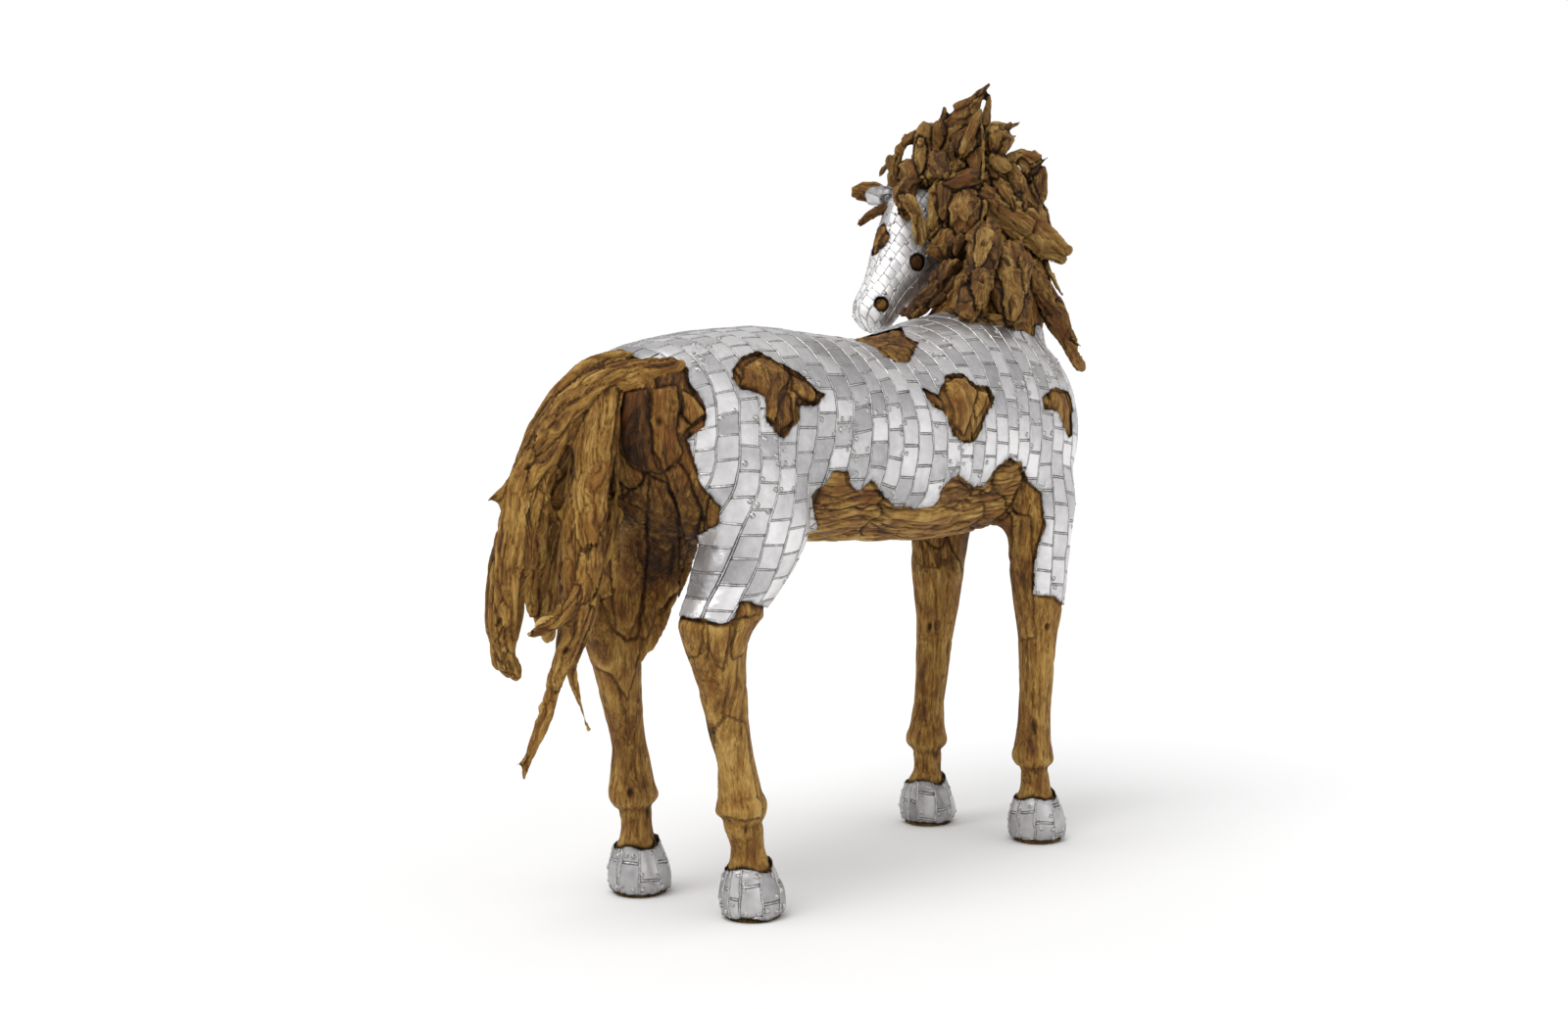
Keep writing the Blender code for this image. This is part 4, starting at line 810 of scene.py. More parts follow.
def body_grain(p, belly):
    """The way of the fibres: down the legs and round the barrel of the belly."""
    x, y, z = p.T
    beside = np.stack([z - 0.78, x - np.where(x > 0, 0.58, -0.60),
                       y - np.where(y > 0, 0.195, -0.195)], 1)
    barrel = np.stack([x, 0.26 * np.arctan2(y, BARREL - z), 0.22 * np.hypot(y, z - BARREL)], 1)
    lying = (belly > 0.5)[:, None]
    wander = 0.016 * bent(p / 0.13, 41) * np.where(lying, FLAT_BENDS, (1.0, 1.0, 1.0))
    return np.where(lying, barrel, beside) + wander


def body_relief(p, n, f, away, pit, slabs, fetlocks):
    """How far the wood stands out, and its grain, tone and darkness.

    f is the metal's distance, away the distance to the photo's joints, pit its knots, slabs
    what slab_relief gives, and fetlocks the height of each one."""
    x, y, z = p.T
    slab, edge, shade, number = slabs
    no_slab = number == 0
    # parts of the body, each from 0 to 1
    leg = ramp(z, 0.86, 0.70)
    above_legs = ramp(z, 0.80, 0.86)
    head = ramp(z, 1.44, 1.48) * ramp(y, 0.02, 0.08)
    belly = ramp(0.47 - abs(x - 0.04), 0.0, 0.08) * ramp(z, 1.20, 1.12) * above_legs
    # downward faces at the back: painted shade under the buttocks
    underside_shade = ramp(-n[:, 2], 0.05, 0.45) * ramp(x, -0.42, -0.50) * above_legs * ramp(z, 1.15, 1.08)
    high_up = ramp(z, 1.14, 1.18)
    island = ramp(f, -0.008, -0.02) * high_up * ramp(x, -0.42, -0.36)
    stout = (1 - leg) * (1 - island)
    rear = ramp(x, -0.25, -0.35) * (1 - leg)
    # joints: those of the photo, those between chunks, and one at the top of each hind leg
    broken = ramp(noise(p / 0.035, 79), -0.6, 0.1)
    faint = 1 - 0.45 * leg
    joint = broken * faint * np.exp(-(away / 0.0025) ** 1.3)
    edge = edge * faint * (0.35 + 0.65 * broken)
    grain = body_grain(p, belly)
    size = 0.115 + 0.085 * leg
    near, far, own = cells((grain + 0.02 * bent(p / 0.06, 44))
                           / np.stack([3.0 * size, size, size], 1), 1)
    split = np.exp(-(far - near) / 0.070) * (1 - 0.80 * leg) * (1 - 0.45 * rear) * no_slab
    split = np.maximum(split, 0.7 * (4 * belly * (1 - belly)) ** 3)
    above = z - 0.79 - 0.06 * noise(p / 0.06, 78)
    fitted = broken * np.exp(-(abs(above) / 0.003) ** 1.3) * no_slab * (x < 0)
    # strands and lumps between the joints
    bend = 0.020 * bent(p / 0.12, 53) * belly[:, None] * FLAT_BENDS
    high, gap, strand = strands(grain + bend, 0.030, 0.32, 51)
    deep = (0.0100 * stout + 0.0045 * island + 0.0020 * leg) * (
        0.6 + 0.6 * ramp(noise(p / 0.12, 70), -0.4, 0.5))
    lumps = fbm(p / 0.075, 3, 60)
    relief = 0.0056 * stout * (0.45 + 0.75 * belly) + 0.0020 * island + 0.0026 * leg
    relief = relief * (1 - 0.35 * (number > 0))
    ribs = 1 - 2 * abs(fbm(grain / (0.13, 0.013, 0.013), 2, 80))
    d = (-deep * split + relief * ((high - 0.5) + 0.7 * (strand - 0.5) - 0.8 * gap)
         + (0.0040 * stout + 0.0026 * (1 - stout)) * lumps + 0.004 * (own - 0.5) * stout)
    d = d + 0.0012 * ribs + slab - 0.003 * edge - 0.003 * fitted
    for name, height in fetlocks.items():
        cx, cy = HOOVES[name]
        here = (np.hypot(x - cx, y - cy) < 0.16) & (z < 0.5)
        step = z - height + 0.012 * noise(p / 0.04, 77)
        d = d + here * (0.0085 * np.exp(-((step - 0.020) / 0.026) ** 2)
                        - 0.0070 * np.exp(-((step + 0.018) / 0.016) ** 2))
    # beside the metal, and under it; rim also darkens the wood along the metal's edge, a painted
    # shadow of the sheet
    rim = np.exp(-((f + 0.003) / 0.0045) ** 2)
    raised = np.maximum(ramp(f, -0.004, -0.03) * high_up, head * ramp(f, -0.001, -0.009))
    d = (1 - 0.5 * head) * d
    d = d - 0.0050 * joint - 0.0070 * pit + 0.006 * raised - 0.003 * rim
    # wood that bulges out beside the metal at the back of the near thigh
    d = d + (0.016 * ramp(f, -0.005, -0.03) * ramp(z, 0.72, 0.80) * ramp(z, 1.0, 0.92)
             * ramp(x, -0.35, -0.45) * ramp(y, -0.12, -0.2))
    bare = ramp(f, 0.012, 0.002)
    d = bare * d - (1 - bare) * 0.0030
    soles = (0.40 + 0.25 * noise(p / 0.03, 84)) * ramp(z, 0.007, 0.002)
    over_hoof = ramp(z, 0.20, 0.17) * np.exp(-((f + 0.005) / 0.008) ** 2)
    # the rim and underside darkening here is painted shade
    dark = np.clip(0.42 * split * ramp(deep, 0.001, 0.008) + 0.45 * rim + 0.32 * joint
                   + 0.65 * pit + 0.24 * edge + 0.15 * gap * ramp(relief, 0.001, 0.005)
                   + 0.30 * fitted + 0.34 * underside_shade + soles + 0.50 * over_hoof, 0, 1)
    tone = (0.50 + 0.22 * leg - 0.12 * rear + 0.28 * (own - 0.5) * stout + 0.10 * lumps
            + (0.45 * (strand - 0.5) + 0.10) * belly + shade - 0.35 * head)
    apart = 3.7 * own * no_slab * (above > 0) + 1.9 * number
    return d, grain + apart[:, None], tone, dark


def metres(pixels, away):
    """The length of so many pixels of the photo, that far from the camera."""
    return pixels * away * SENSOR / CAMERA_LENS / PHOTO_WIDE


def in_photo(x, y):
    """The direction from the camera through a pixel of the photo."""
    scale = metres(1, 1)
    return (AHEAD + RIGHT * (x - MIDDLE_X) * scale + UP * (MIDDLE_Y - y) * scale).normalized()


def pixels_of(p):
    """Where the photo shows points, in pixels, and how far they are from the camera."""
    ahead = np.array(CAMERA_AHEAD) / np.linalg.norm(CAMERA_AHEAD)
    right = np.cross(ahead, (0, 0, 1))
    right = right / np.linalg.norm(right)
    away = p - np.array(CAMERA_PLACE)
    depth = away @ ahead
    scale = CAMERA_LENS * PHOTO_WIDE / SENSOR / depth
    rise = away @ np.cross(right, ahead)
    return MIDDLE_X + (away @ right) * scale, MIDDLE_Y - rise * scale, depth


def toward_camera(n):
    """1 where a surface faces the camera, 0 where it is seen from the side."""
    return -(n @ np.array(CAMERA_AHEAD))


def spot(tree, x, y):
    """The point of the horse that the photo shows at a pixel, or None."""
    return tree.ray_cast(CAMERA, in_photo(x, y))[0]


def sighted(tree, pixels):
    """The ways from the camera through some pixels, and how far off the horse is there."""
    found = [spot(tree, *xy) for xy in pixels]
    return [in_photo(*xy) for xy in pixels], [
        None if q is None else (q - CAMERA).length for q in found]


def slab_relief(p, n, tree):
    """Height, edge, tone and number of the slabs that the photo shows on the wood."""
    x, y, depth = pixels_of(p + 0.004 * bent(p / 0.025, 48))
    facing = ramp(toward_camera(n), 0.0, 0.3)
    height, rim, tone, number = (np.zeros(len(p)) for _ in range(4))
    for k, (outline, high, shade) in enumerate(SLABS):
        place = spot(tree, *np.mean(outline, 0))
        if place is None:
            continue
        reach = (place - CAMERA).dot(Vector(CAMERA_AHEAD))
        inside = metres(edge_distance(x, y, outline), reach)
        here = facing * ramp(abs(depth - reach), 0.22, 0.16)
        rise = 1 - np.exp(-np.maximum(inside, 0) / 0.009)
        height = np.maximum(height, here * (inside > 0) * high * rise)
        rim = np.maximum(rim, here * np.exp(-np.where(inside > 0, inside / 0.002,
                                                      -inside / 0.0030)))
        tone = np.where((inside > 0) & (here > 0.5), shade, tone)
        number = np.where((inside > 0) & (here > 0.5), k + 1.0, number)
    return height, rim, tone, number


def line_distance(p, tree, lines):
    """Distance to lines drawn on the photo and laid on the horse."""
    best = np.full(len(p), 9.0)
    for line in lines:
        found = [spot(tree, *xy) for xy in line]
        found = [np.array(q) for q in found if q is not None]
        for a, b in zip(found, found[1:]):
            way = b - a
            if np.linalg.norm(way) > 0.25:
                continue
            t = np.clip((p - a) @ way / (way @ way), 0, 1)
            best = np.minimum(best, np.linalg.norm(p - a - t[:, None] * way, axis=1))
    return best


def cover_all(p):
    """How far inside any of the metal on the body's own wood points are."""
    return np.maximum(np.maximum(body_cover(p), head_cover(p)), hoof_cover(p))


def make_body(skin):
    """The wood of the body as a piece; gives back its skin without the relief."""
    planks = photo_roots(THIGH_PLANKS, tree_of([skin]), 0.5)
    mesh = remeshed(mesh_from(together([skin] + planks), "body_wood"), BODY_GRID)
    edges = edges_of(mesh)
    p = eased(points_of(mesh), edges, 5)
    set_points(mesh, p)
    n = normals_of(mesh)
    smooth = mesh.copy()
    f = cover_all(p - SHIFT)
    tree = BVHTree.FromPolygons(p.tolist(), [q.vertices[:] for q in mesh.polygons])
    bend = p + 0.003 * bent(p / 0.03, 46)
    away = line_distance(bend, tree, WOOD_JOINTS)
    pit = np.zeros(len(p))
    for px, py, wide, tall in WOOD_KNOTS:
        place = spot(tree, px, py)
        if place is not None:
            apart = (bend - np.array(place)) / (wide, wide, tall)
            pit = np.maximum(pit, np.exp(-(apart ** 2).sum(1) ** 1.5))
    fetlocks = {}
    for name, pixel in FETLOCKS.items():
        place = spot(tree, *pixel)
        fetlocks[name] = place[2] - SHIFT[2] if place is not None else FETLOCK_HEIGHT
    d, grain, tone, dark = body_relief(p - SHIFT, n, f, away, pit, slab_relief(p, n, tree),
                                       fetlocks)
    d = d * ramp(p[:, 2], 0.004, 0.02)
    p = p + n * d[:, None]
    soles = (p[:, 2] < 0.007) & (n[:, 2] < -0.5)
    p[:, 2] = np.where(soles, 0.0, np.maximum(p[:, 2], 0.0))
    set_points(mesh, p)
    # ridges lighter and hollows darker: partly edge wear, partly painted highlight and painted
    # shade
    wear_and_shade = ridges_and_hollows(p, normals_of(mesh), edges)
    attribute(mesh, "grain", grain)
    attribute(mesh, "tone", tone + 0.35 * wear_and_shade)
    attribute(mesh, "dark", np.clip(dark - 0.25 * wear_and_shade, 0, 1))
    # fewer faces, first where the metal hides the wood
    hidden = f > 0.02
    kept = 1 - HIDDEN_LESS * hidden.mean()
    obj = link("work", mesh)
    group = obj.vertex_groups.new(name="hidden")
    group.add(np.flatnonzero(hidden).tolist(), 1.0, "REPLACE")
    first = obj.modifiers.new("hidden", "DECIMATE")
    first.ratio = kept
    first.vertex_group = "hidden"
    obj.modifiers.new("all", "DECIMATE").ratio = BODY_TRIANGLES / (2 * len(mesh.polygons) * kept)
    piece("body_wood", as_shown(obj), [body_finish], "root_wood", "body")
    return smooth


# The metal sheets, cut out of the smooth skin along the cladding's edge.

def cut_out(p, tris, f):
    """Points, triangles and, for each point, the two source points and their share."""
    f = np.where(f >= 0, 1, -1) * np.maximum(abs(f), 1e-5)
    keep = (f[tris] > 0).sum(1)
    whole = tris[keep == 3]
    part = tris[(keep == 1) | (keep == 2)]
    # turned so that the odd corner comes first
    odd = np.where((f[part] > 0).sum(1)[:, None] == 1, f[part] > 0, f[part] <= 0)
    first = np.argmax(odd, 1)
    rows = np.arange(len(part))
    a, b, c = (part[rows, (first + s) % 3] for s in range(3))
    single = f[a] > 0
    count = len(p)

    def crossing(i, j):
        return np.minimum(i, j) * count + np.maximum(i, j)

    keys, back = np.unique(np.concatenate([crossing(a, b), crossing(a, c)]), return_inverse=True)
    ab, ac = back[:len(a)] + count, back[len(a):] + count
    i, j = keys // count, keys % count
    t = np.clip(f[i] / (f[i] - f[j]), 0.06, 0.94)
    made = np.concatenate([
        whole, np.stack([a, ab, ac], 1)[single],
        np.stack([ab, b, c], 1)[~single], np.stack([ab, c, ac], 1)[~single]])
    used, made = np.unique(made, return_inverse=True)
    made = made.reshape(-1, 3)
    one = np.concatenate([np.arange(count), i])[used]
    two = np.concatenate([np.arange(count), j])[used]
    share = np.concatenate([np.zeros(count), t])[used]
    return made, one, two, share


def largest_patch(tris, count):
    """The triangles of the largest connected patch."""
    label = np.arange(count)
    while True:
        low = label[tris].min(1)
        new = label.copy()
        for s in range(3):
            np.minimum.at(new, tris[:, s], low)
        new = new[new]
        if (new == label).all():
            break
        label = new
    of_tri = label[tris[:, 0]]
    names, sizes = np.unique(of_tri, return_counts=True)
    return tris[of_tri == names[np.argmax(sizes)]]


def column_offset(column):
    """How far the plates of a column are shifted up."""
    return 0.5 * np.mod(column, 2.0) + 0.25 * np.sin(column * COLUMN_TURN)


def body_plates(p):
    """Numbers across and up the plates of the body; whole numbers are seams."""
    x, y, z = p.T
    drop = np.maximum(1.30 - z, 0) * ramp(x, 0.12, -0.46)
    reach = x + 0.15 * drop + 0.35 * drop ** 2
    girth = np.maximum(np.hypot(abs(y), 1.6 * np.maximum(z - 1.15, 0)) - 0.06, 0.02)
    past = np.maximum(-0.42 - reach, 0)
    rear = -0.42 - np.hypot(past, girth) * np.arctan2(past, girth)
    reach = np.where(past > 0, rear, reach)
    front = 0.62 + 0.26 * np.arctan2(x - 0.62, np.maximum(abs(y), 0.02))
    reach = np.where((x > 0.62) & (z > 0.85), front, reach)
    arc = np.where(z > 1.2, 0.28 * np.arctan2(z - 1.2, np.maximum(abs(y), 0.001)), z - 1.2)
    # round the front of each thigh and round each foreleg
    ahead = np.maximum(reach + 0.20, 0)
    beside = np.maximum(abs(y) - 0.10, 0.02)
    turned = -0.20 + np.hypot(ahead, beside) * np.arctan2(ahead, beside)
    reach = reach + ramp(z, 1.04, 0.94) * (x < 0.1) * (ahead > 0) * (turned - reach)
    low = ramp(z, 1.02, 0.86) * (x > 0.3)
    reach = reach + low * (0.58 + 0.085 * np.arctan2(x - 0.58, abs(y) - 0.192) - reach)
    reach = reach + 0.007 * noise(p / 0.11, 90) + 0.0035 * noise(p / 0.035, 92)
    arc = arc + 0.008 * noise(p / 0.10, 91) + 0.10 * np.maximum(reach + 0.1, 0) ** 2
    across = np.where(reach < -0.2, reach / 0.070, -0.2 / 0.070 + (reach + 0.2) / 0.056)
    tall = 0.061 + 0.015 * ramp(reach, -0.30, 0.0)
    return across, arc / tall + 20


def head_plates(p):
    """The same on the head: the rows run round the face, from the poll to the muzzle."""
    x, y, z = p.T
    y = y - HEAD_MIDDLE
    down = 0.42 * (x - 0.50) + 0.91 * (z - 1.70)
    over = 0.91 * (x - 0.50) - 0.42 * (z - 1.70)
    turn = 0.085 * np.arctan2(y, over + 0.02)
    down = down + 0.004 * noise(p / 0.07, 93) + 0.55 * turn
    turn = turn - 0.30 * down + 0.004 * noise(p / 0.06, 94)
    return turn / 0.033 + 40, down / 0.032 + 40


def hoof_plates(p):
    """The same on the hooves: eight plates round each."""
    across, up = np.zeros(len(p)), np.zeros(len(p))
    for number, (cx, cy) in enumerate(HOOVES.values()):
        near = np.hypot(p[:, 0] - cx, p[:, 1] - cy) < HOOF_REACH
        turn = np.arctan2(p[:, 1] - cy, p[:, 0] - cx) + 0.3 * number
        z = p[:, 2] + SHIFT[2]
        across = np.where(near, turn / (2 * math.pi / 8) + 20.4 + 9 * number, across)
        up = np.where(near, z / 0.078 + 0.10, up)
    return across + 0.10 * noise(p / 0.03, 95), up + 0.10 * noise(p / 0.04, 96)


def contour_lines(p, tris, value):
    """Lines on the mesh along which value passes a whole number, as chains of points."""
    v = value[tris]
    level = np.floor(v.max(1))
    links, places = {}, {}
    for t in np.flatnonzero(level > np.floor(v.min(1))):
        k = level[t]
        ends = []
        for s in range(3):
            i, j = int(tris[t, s]), int(tris[t, (s + 1) % 3])
            a, b = value[i] - k, value[j] - k
            if (a < 0) != (b < 0):
                key = (min(i, j), max(i, j), int(k))
                if key not in places:
                    places[key] = p[i] + (p[j] - p[i]) * (a / (a - b))
                ends.append(key)
        if len(ends) == 2:
            links.setdefault(ends[0], []).append(ends[1])
            links.setdefault(ends[1], []).append(ends[0])
    chains, used = [], set()
    for start in [k for k, near in links.items() if len(near) == 1] + list(links):
        if start in used:
            continue
        chain, onward = [start], [start]
        while onward:
            used.add(onward[0])
            onward = [k for k in links[onward[0]] if k not in used]
            chain += onward[:1]
        if len(chain) > 2:
            chains.append(np.array([places[k] for k in chain]))
    return chains


def gone_along(line):
    """How far along a line each of its points is."""
    return np.concatenate([[0], np.cumsum(np.linalg.norm(np.diff(line, axis=0), axis=1))])


def on_line(line, at):
    """The points at these distances along a line."""
    gone = gone_along(line)
    return np.stack([np.interp(at, gone, line[:, c]) for c in range(3)], 1)


def resampled(line, step):
    """The line in even steps, a little smoother."""
    length = gone_along(line)[-1]
    count = max(int(round(length / step)), 2)
    out = on_line(line, np.linspace(0, length, count + 1))
    out[1:-1] = 0.5 * out[1:-1] + 0.25 * (out[:-2] + out[2:])
    return out


def bead_mesh(lines, radius, name, seed):
    """Round weld beads along lines on the sheet, as one mesh."""
    curve = bpy.data.curves.new(name, "CURVE")
    curve.dimensions = "3D"
    curve.bevel_depth = radius
    curve.bevel_resolution = 1
    curve.use_fill_caps = True
    for number, line in enumerate(lines):
        count = len(line)
        spline = curve.splines.new("POLY")
        spline.points.add(count - 1)
        spline.points.foreach_set("co", np.c_[line, np.ones(count)].ravel())
        place = np.c_[np.arange(count) * 0.7, np.full(count, number * 3.1),
                      np.full(count, float(seed))]
        full = 1.0 + 0.28 * noise(place, 33)
        full[[0, -1]] *= 0.6
        spline.points.foreach_set("radius", full)
    bm = together([as_shown(link(name, curve))])
    bmesh.ops.remove_doubles(bm, verts=bm.verts[:], dist=0.00001)
    bmesh.ops.recalc_face_normals(bm, faces=bm.faces[:])
    return mesh_from(bm, name)


def cut_sheet(skin, cover, ragged, one_patch, seed):
    """The part of a skin that metal covers: points, triangles, and how far inside they are."""
    points, tris = skin
    own = points - SHIFT
    f = cover(own)
    tris = tris[(f[tris] > -0.03).any(1)]
    f = f + ragged * (fbm(own / 0.030, 3, 120 + seed) + 0.5 * noise(own / 0.009, 130 + seed))
    tris, one, two, share = cut_out(points, tris, f)
    if one_patch:
        tris = largest_patch(tris, len(one))
    used, tris = np.unique(tris, return_inverse=True)
    one, two, share = one[used], two[used], share[used, None]
    base = points[one] * (1 - share) + points[two] * share
    inner = f[one] * (1 - share[:, 0]) + f[two] * share[:, 0]
    return base, tris.reshape(-1, 3), inner


def seam_lines(p, tris, across, up, plate_size):
    """The long seams, then the short seams column by column."""
    lines = contour_lines(p, tris, across)
    for c in range(int(across.min()), int(across.max()) + 1):
        here = np.flatnonzero(((across[tris] > c) & (across[tris] < c + 1)).any(1))
        if len(here):
            middle = across[tris[here]].mean(1)
            here = here[(middle > c + 0.02) & (middle < c + 0.98)]
            lines += contour_lines(p, tris[here], up + column_offset(float(c)))
    step = 0.0095 if plate_size > 0.05 else 0.007
    return [resampled(x, step) for x in lines if gone_along(x)[-1] > 0.35 * plate_size]


def plated(name, replaced, skin, cover, plates, ragged, lift, bead, pillow, plate_size,
           one_patch=True, nail_share=0.03, nail_radius=NAIL, seed=0, dim=0.0,
           finish=sheet_finish):
    """A cladding of plates: the sheet, the beads along its seams, and nail heads.

    cover gives the distance to the sheet's edge and plates the numbers of its plates; the
    edge is ragged, the sheet lifted off the wood, and each plate swells like a pillow."""
    base, tris, inner = cut_sheet(skin, cover, ragged, one_patch, seed)
    own = base - SHIFT
    mesh = bpy.data.meshes.new(name)
    mesh.from_pydata(base.tolist(), [], tris.tolist())
    mesh.update()
    n = eased(normals_of(mesh), edges_of(mesh), 4)
    n = n / np.linalg.norm(n, axis=1)[:, None]
    # where each point is on its plate, from -0.5 to 0.5, and what sets the plate apart
    across, up = plates(own)
    column = np.floor(across)
    row_at = up + column_offset(column)
    row = np.floor(row_at)
    a, b = across - column - 0.5, row_at - row - 0.5
    plate = column.astype(np.int64), row.astype(np.int64), (own[:, 1] > 0).astype(np.int64)
    number, tip_a, tip_b = (hashed(*plate, k + seed) for k in (7, 8, 9))
    tip = (tip_a - 0.5) * a + (tip_b - 0.5) * b
    swell = (1 - (2 * abs(a)) ** 4) * (1 - (2 * abs(b)) ** 4)
    edge = ramp(inner, 0.022, 0.0)
    d = (lift + pillow * swell + pillow * 1.3 * tip * 2 * swell ** 0.5
         + pillow * 0.35 * fbm(own / 0.045, 2, 150 + seed)
         + edge * 0.0016 * fbm(own / 0.014, 2, 160 + seed) + 0.0012 * ramp(inner, 0.006, 0.0))
    p = base + n * d[:, None]
    set_points(mesh, p)
    outward = normals_of(mesh)
    px, py, _ = pixels_of(p)
    seen = toward_camera(n) > 0
    crumple = 0.5 * ramp(inner, 0.016, 0.0)
    for cx, cy, size in CRUMPLED:
        crumple = np.maximum(crumple, 0.8 * seen * ramp(np.hypot(px - cx, py - cy), size, 0.0))
    # patchy tone, and the low middle of the barrel duller: painted shade
    patches_and_low_shade = (0.5 * fbm(own / 0.22, 2, 190 + seed) + 0.30 * ramp(own[:, 2], 1.14, 1.02)
                * ramp(abs(own[:, 0] - 0.2), 0.38, 0.24))
    attribute(mesh, "plate", np.stack([across, up, np.zeros(len(p))], 1))
    attribute(mesh, "crumple", np.clip(crumple, 0, 1))
    attribute(mesh, "tone", np.clip(0.28 + dim + 0.85 * (number - 0.5) + patches_and_low_shade, 0, 1))
    attribute(mesh, "dark", 0.55 * ramp(inner, 0.0035, 0.0) + 0.25 * edge
              * ramp(fbm(own / 0.02, 2, 170 + seed), 0.0, 0.5))
    piece(name, applied(mesh, "SOLIDIFY", thickness=SHEET_THICK, offset=-1.0), [finish],
          "plate_metal", *replaced)
    lines = seam_lines(p, tris, across, up, plate_size)
    piece(name + "_seams", bead_mesh(lines, bead, name + "_seams", seed), [bead_finish],
          "plate_metal")
    nails(name + "_nails", p, outward, across, row_at, number, inner, nail_share, nail_radius,
          seed)


def nails(name, p, n, across, row_at, number, inner, share, radius, seed):
    """Nail heads near the corners of some plates, more of them along the sheet's edge."""
    a, b = across - np.floor(across), row_at - np.floor(row_at)
    px, py, _ = pixels_of(p)
    crowd = 0.35 * ramp(noise(p / 0.13, 99), 0.40, 0.6) * (p[:, 1] > 0)
    for cx, cy in NAIL_CROWDS:
        crowd = np.maximum(crowd, 0.75 * (np.hypot(px - cx, py - cy) < 15) * (p[:, 1] < 0.25))
    corner = (np.minimum(a, 1 - a) - 0.20) ** 2 + (np.minimum(b, 1 - b) - 0.18) ** 2
    free = (inner >= 1.4 * radius) & (corner <= 0.012)
    none = np.zeros(len(p), int)
    order = np.argsort(hashed(np.arange(len(p)), none, none, 77 + seed))
    chosen, taken = [], set()
    for i in order[free[order]]:
        key = (int(across[i]), int(row_at[i]), int(a[i] > 0.5), int(b[i] > 0.5), int(p[i, 1] > 0))
        if key in taken:
            continue
        taken.add(key)
        chance = max(share * (2.5 if inner[i] < 0.04 else 1.0), crowd[i])
        if hashed_one(key[0], key[1], key[2] + 2 * key[3], 88 + seed) < chance:
            chosen.append(i)
    if not chosen:
        return
    bm = bmesh.new()
    for i in chosen:
        axis = Vector(n[i]).normalized()
        size = radius * (0.8 + 0.5 * float(number[i]))
        place = Matrix.Translation(Vector(p[i])) @ axis.to_track_quat("Z", "Y").to_matrix().to_4x4()

        def disc(low, high, deep, at):
            made = bmesh.ops.create_cone(bm, cap_ends=True, segments=9, radius1=size * low,
                                         radius2=size * high, depth=deep, matrix=at)
            return [f for v in made["verts"] for f in v.link_faces]

        # a dark rim, and the bright head on it with a dent in its top
        for face in disc(1.32, 1.22, 0.0016, place):
            face.material_index = 1
        top = max(disc(1.0, 0.62, 0.0026, Matrix.Translation(axis * 0.0016) @ place),
                  key=lambda face: face.calc_center_median().dot(axis))
        bmesh.ops.inset_region(bm, faces=[top], thickness=size * 0.3, depth=0.0006)
    piece(name, mesh_from(bm, name), [bead_finish, dark_rim_finish], "plate_metal")


# Single pieces of root wood.

def own_frame(points):
    """Middle, axes (along, across, through) and half sizes of a piece of root."""
    middle = points.mean(0)
    axes = np.linalg.eigh(np.cov((points - middle).T))[1][:, ::-1]
    local = (points - middle) @ axes
    low, high = local.min(0), local.max(0)
    return middle + axes @ ((low + high) / 2), axes, np.maximum((high - low) / 2, 0.006)


def chip(path, wide, flat, outward, seed, blunt=3.0, thin=0.25, rough=1.0):
    """A rough length of root along a path, its flat side outward."""
    path, outward = np.array(path, float), np.array(outward)
    length = gone_along(path)[-1]
    straight = len(path) == 2
    bm = bmesh.new()
    bmesh.ops.create_icosphere(bm, subdivisions=3 if straight else 4, radius=1.0)
    mesh = mesh_from(bm, "chip")
    q = points_of(mesh)
    t = np.clip((q[:, 0] + 1) / 2, 0, 1)

    def at(share):
        return on_line(path, np.clip(share, 0, 1) * length)

    near = 0.5 if straight else 0.10
    middle = at(t) if straight else (at(t - 0.5 * near) + 2 * at(t) + at(t + 0.5 * near)) / 4
    along = at(t + near) - at(t - near)
    along = along / np.linalg.norm(along, axis=1)[:, None]
    out = outward - along * (along @ outward)[:, None]
    out = out / np.linalg.norm(out, axis=1)[:, None]
    side = np.cross(out, along)
    body = np.sqrt(np.maximum(1 - np.minimum(abs(q[:, 0]), 0.999) ** blunt, 0))
    ring = q[:, 1:] / np.maximum(np.linalg.norm(q[:, 1:], axis=1), 1e-6)[:, None]
    taper = body * (1.0 - (thin + 0.35 * hashed_one(seed, 1)) * t)
    steps = np.stack([t * length / wide, ring[:, 0], ring[:, 1]], 1) * (0.8, 1.0, 1.0)
    uneven = 1 + rough * (0.28 * noise(steps * 1.6 + seed * 3.3, 5)
                          + 0.15 * noise(steps * 3.4 + seed, 6))
    curve = (hashed_one(seed, 2) - 0.5) * 0.35 * wide * np.sin(math.pi * t)
    set_points(mesh, middle + along * (length * (t - 0.5) * 0.04)[:, None]
               + side * (ring[:, 0] * 0.5 * wide * taper * uneven + curve)[:, None]
               + out * (ring[:, 1] * 0.5 * wide * flat * taper * uneven - 0.25 * curve)[:, None])
    return mesh


def photo_chips(table, tree, far):
    """Chips between pixels of the photo, lying on the pieces that the photo shows there."""
    made = []
    for number, (x0, y0, x1, y1, wide, lift) in enumerate(table):
        ways, reach = sighted(tree, [(x0, y0), (x1, y1)])
        known = [r for r in reach if r is not None]
        middle = sum(known) / len(known) if known else far
        reach = [r if r is not None and abs(r - middle) < 0.10 else middle for r in reach]
        ends = [CAMERA + way * (r - lift) for way, r in zip(ways, reach)]
        made.append(chip(ends, metres(wide, middle), 0.62, -ways[0], number + 3))
    return made


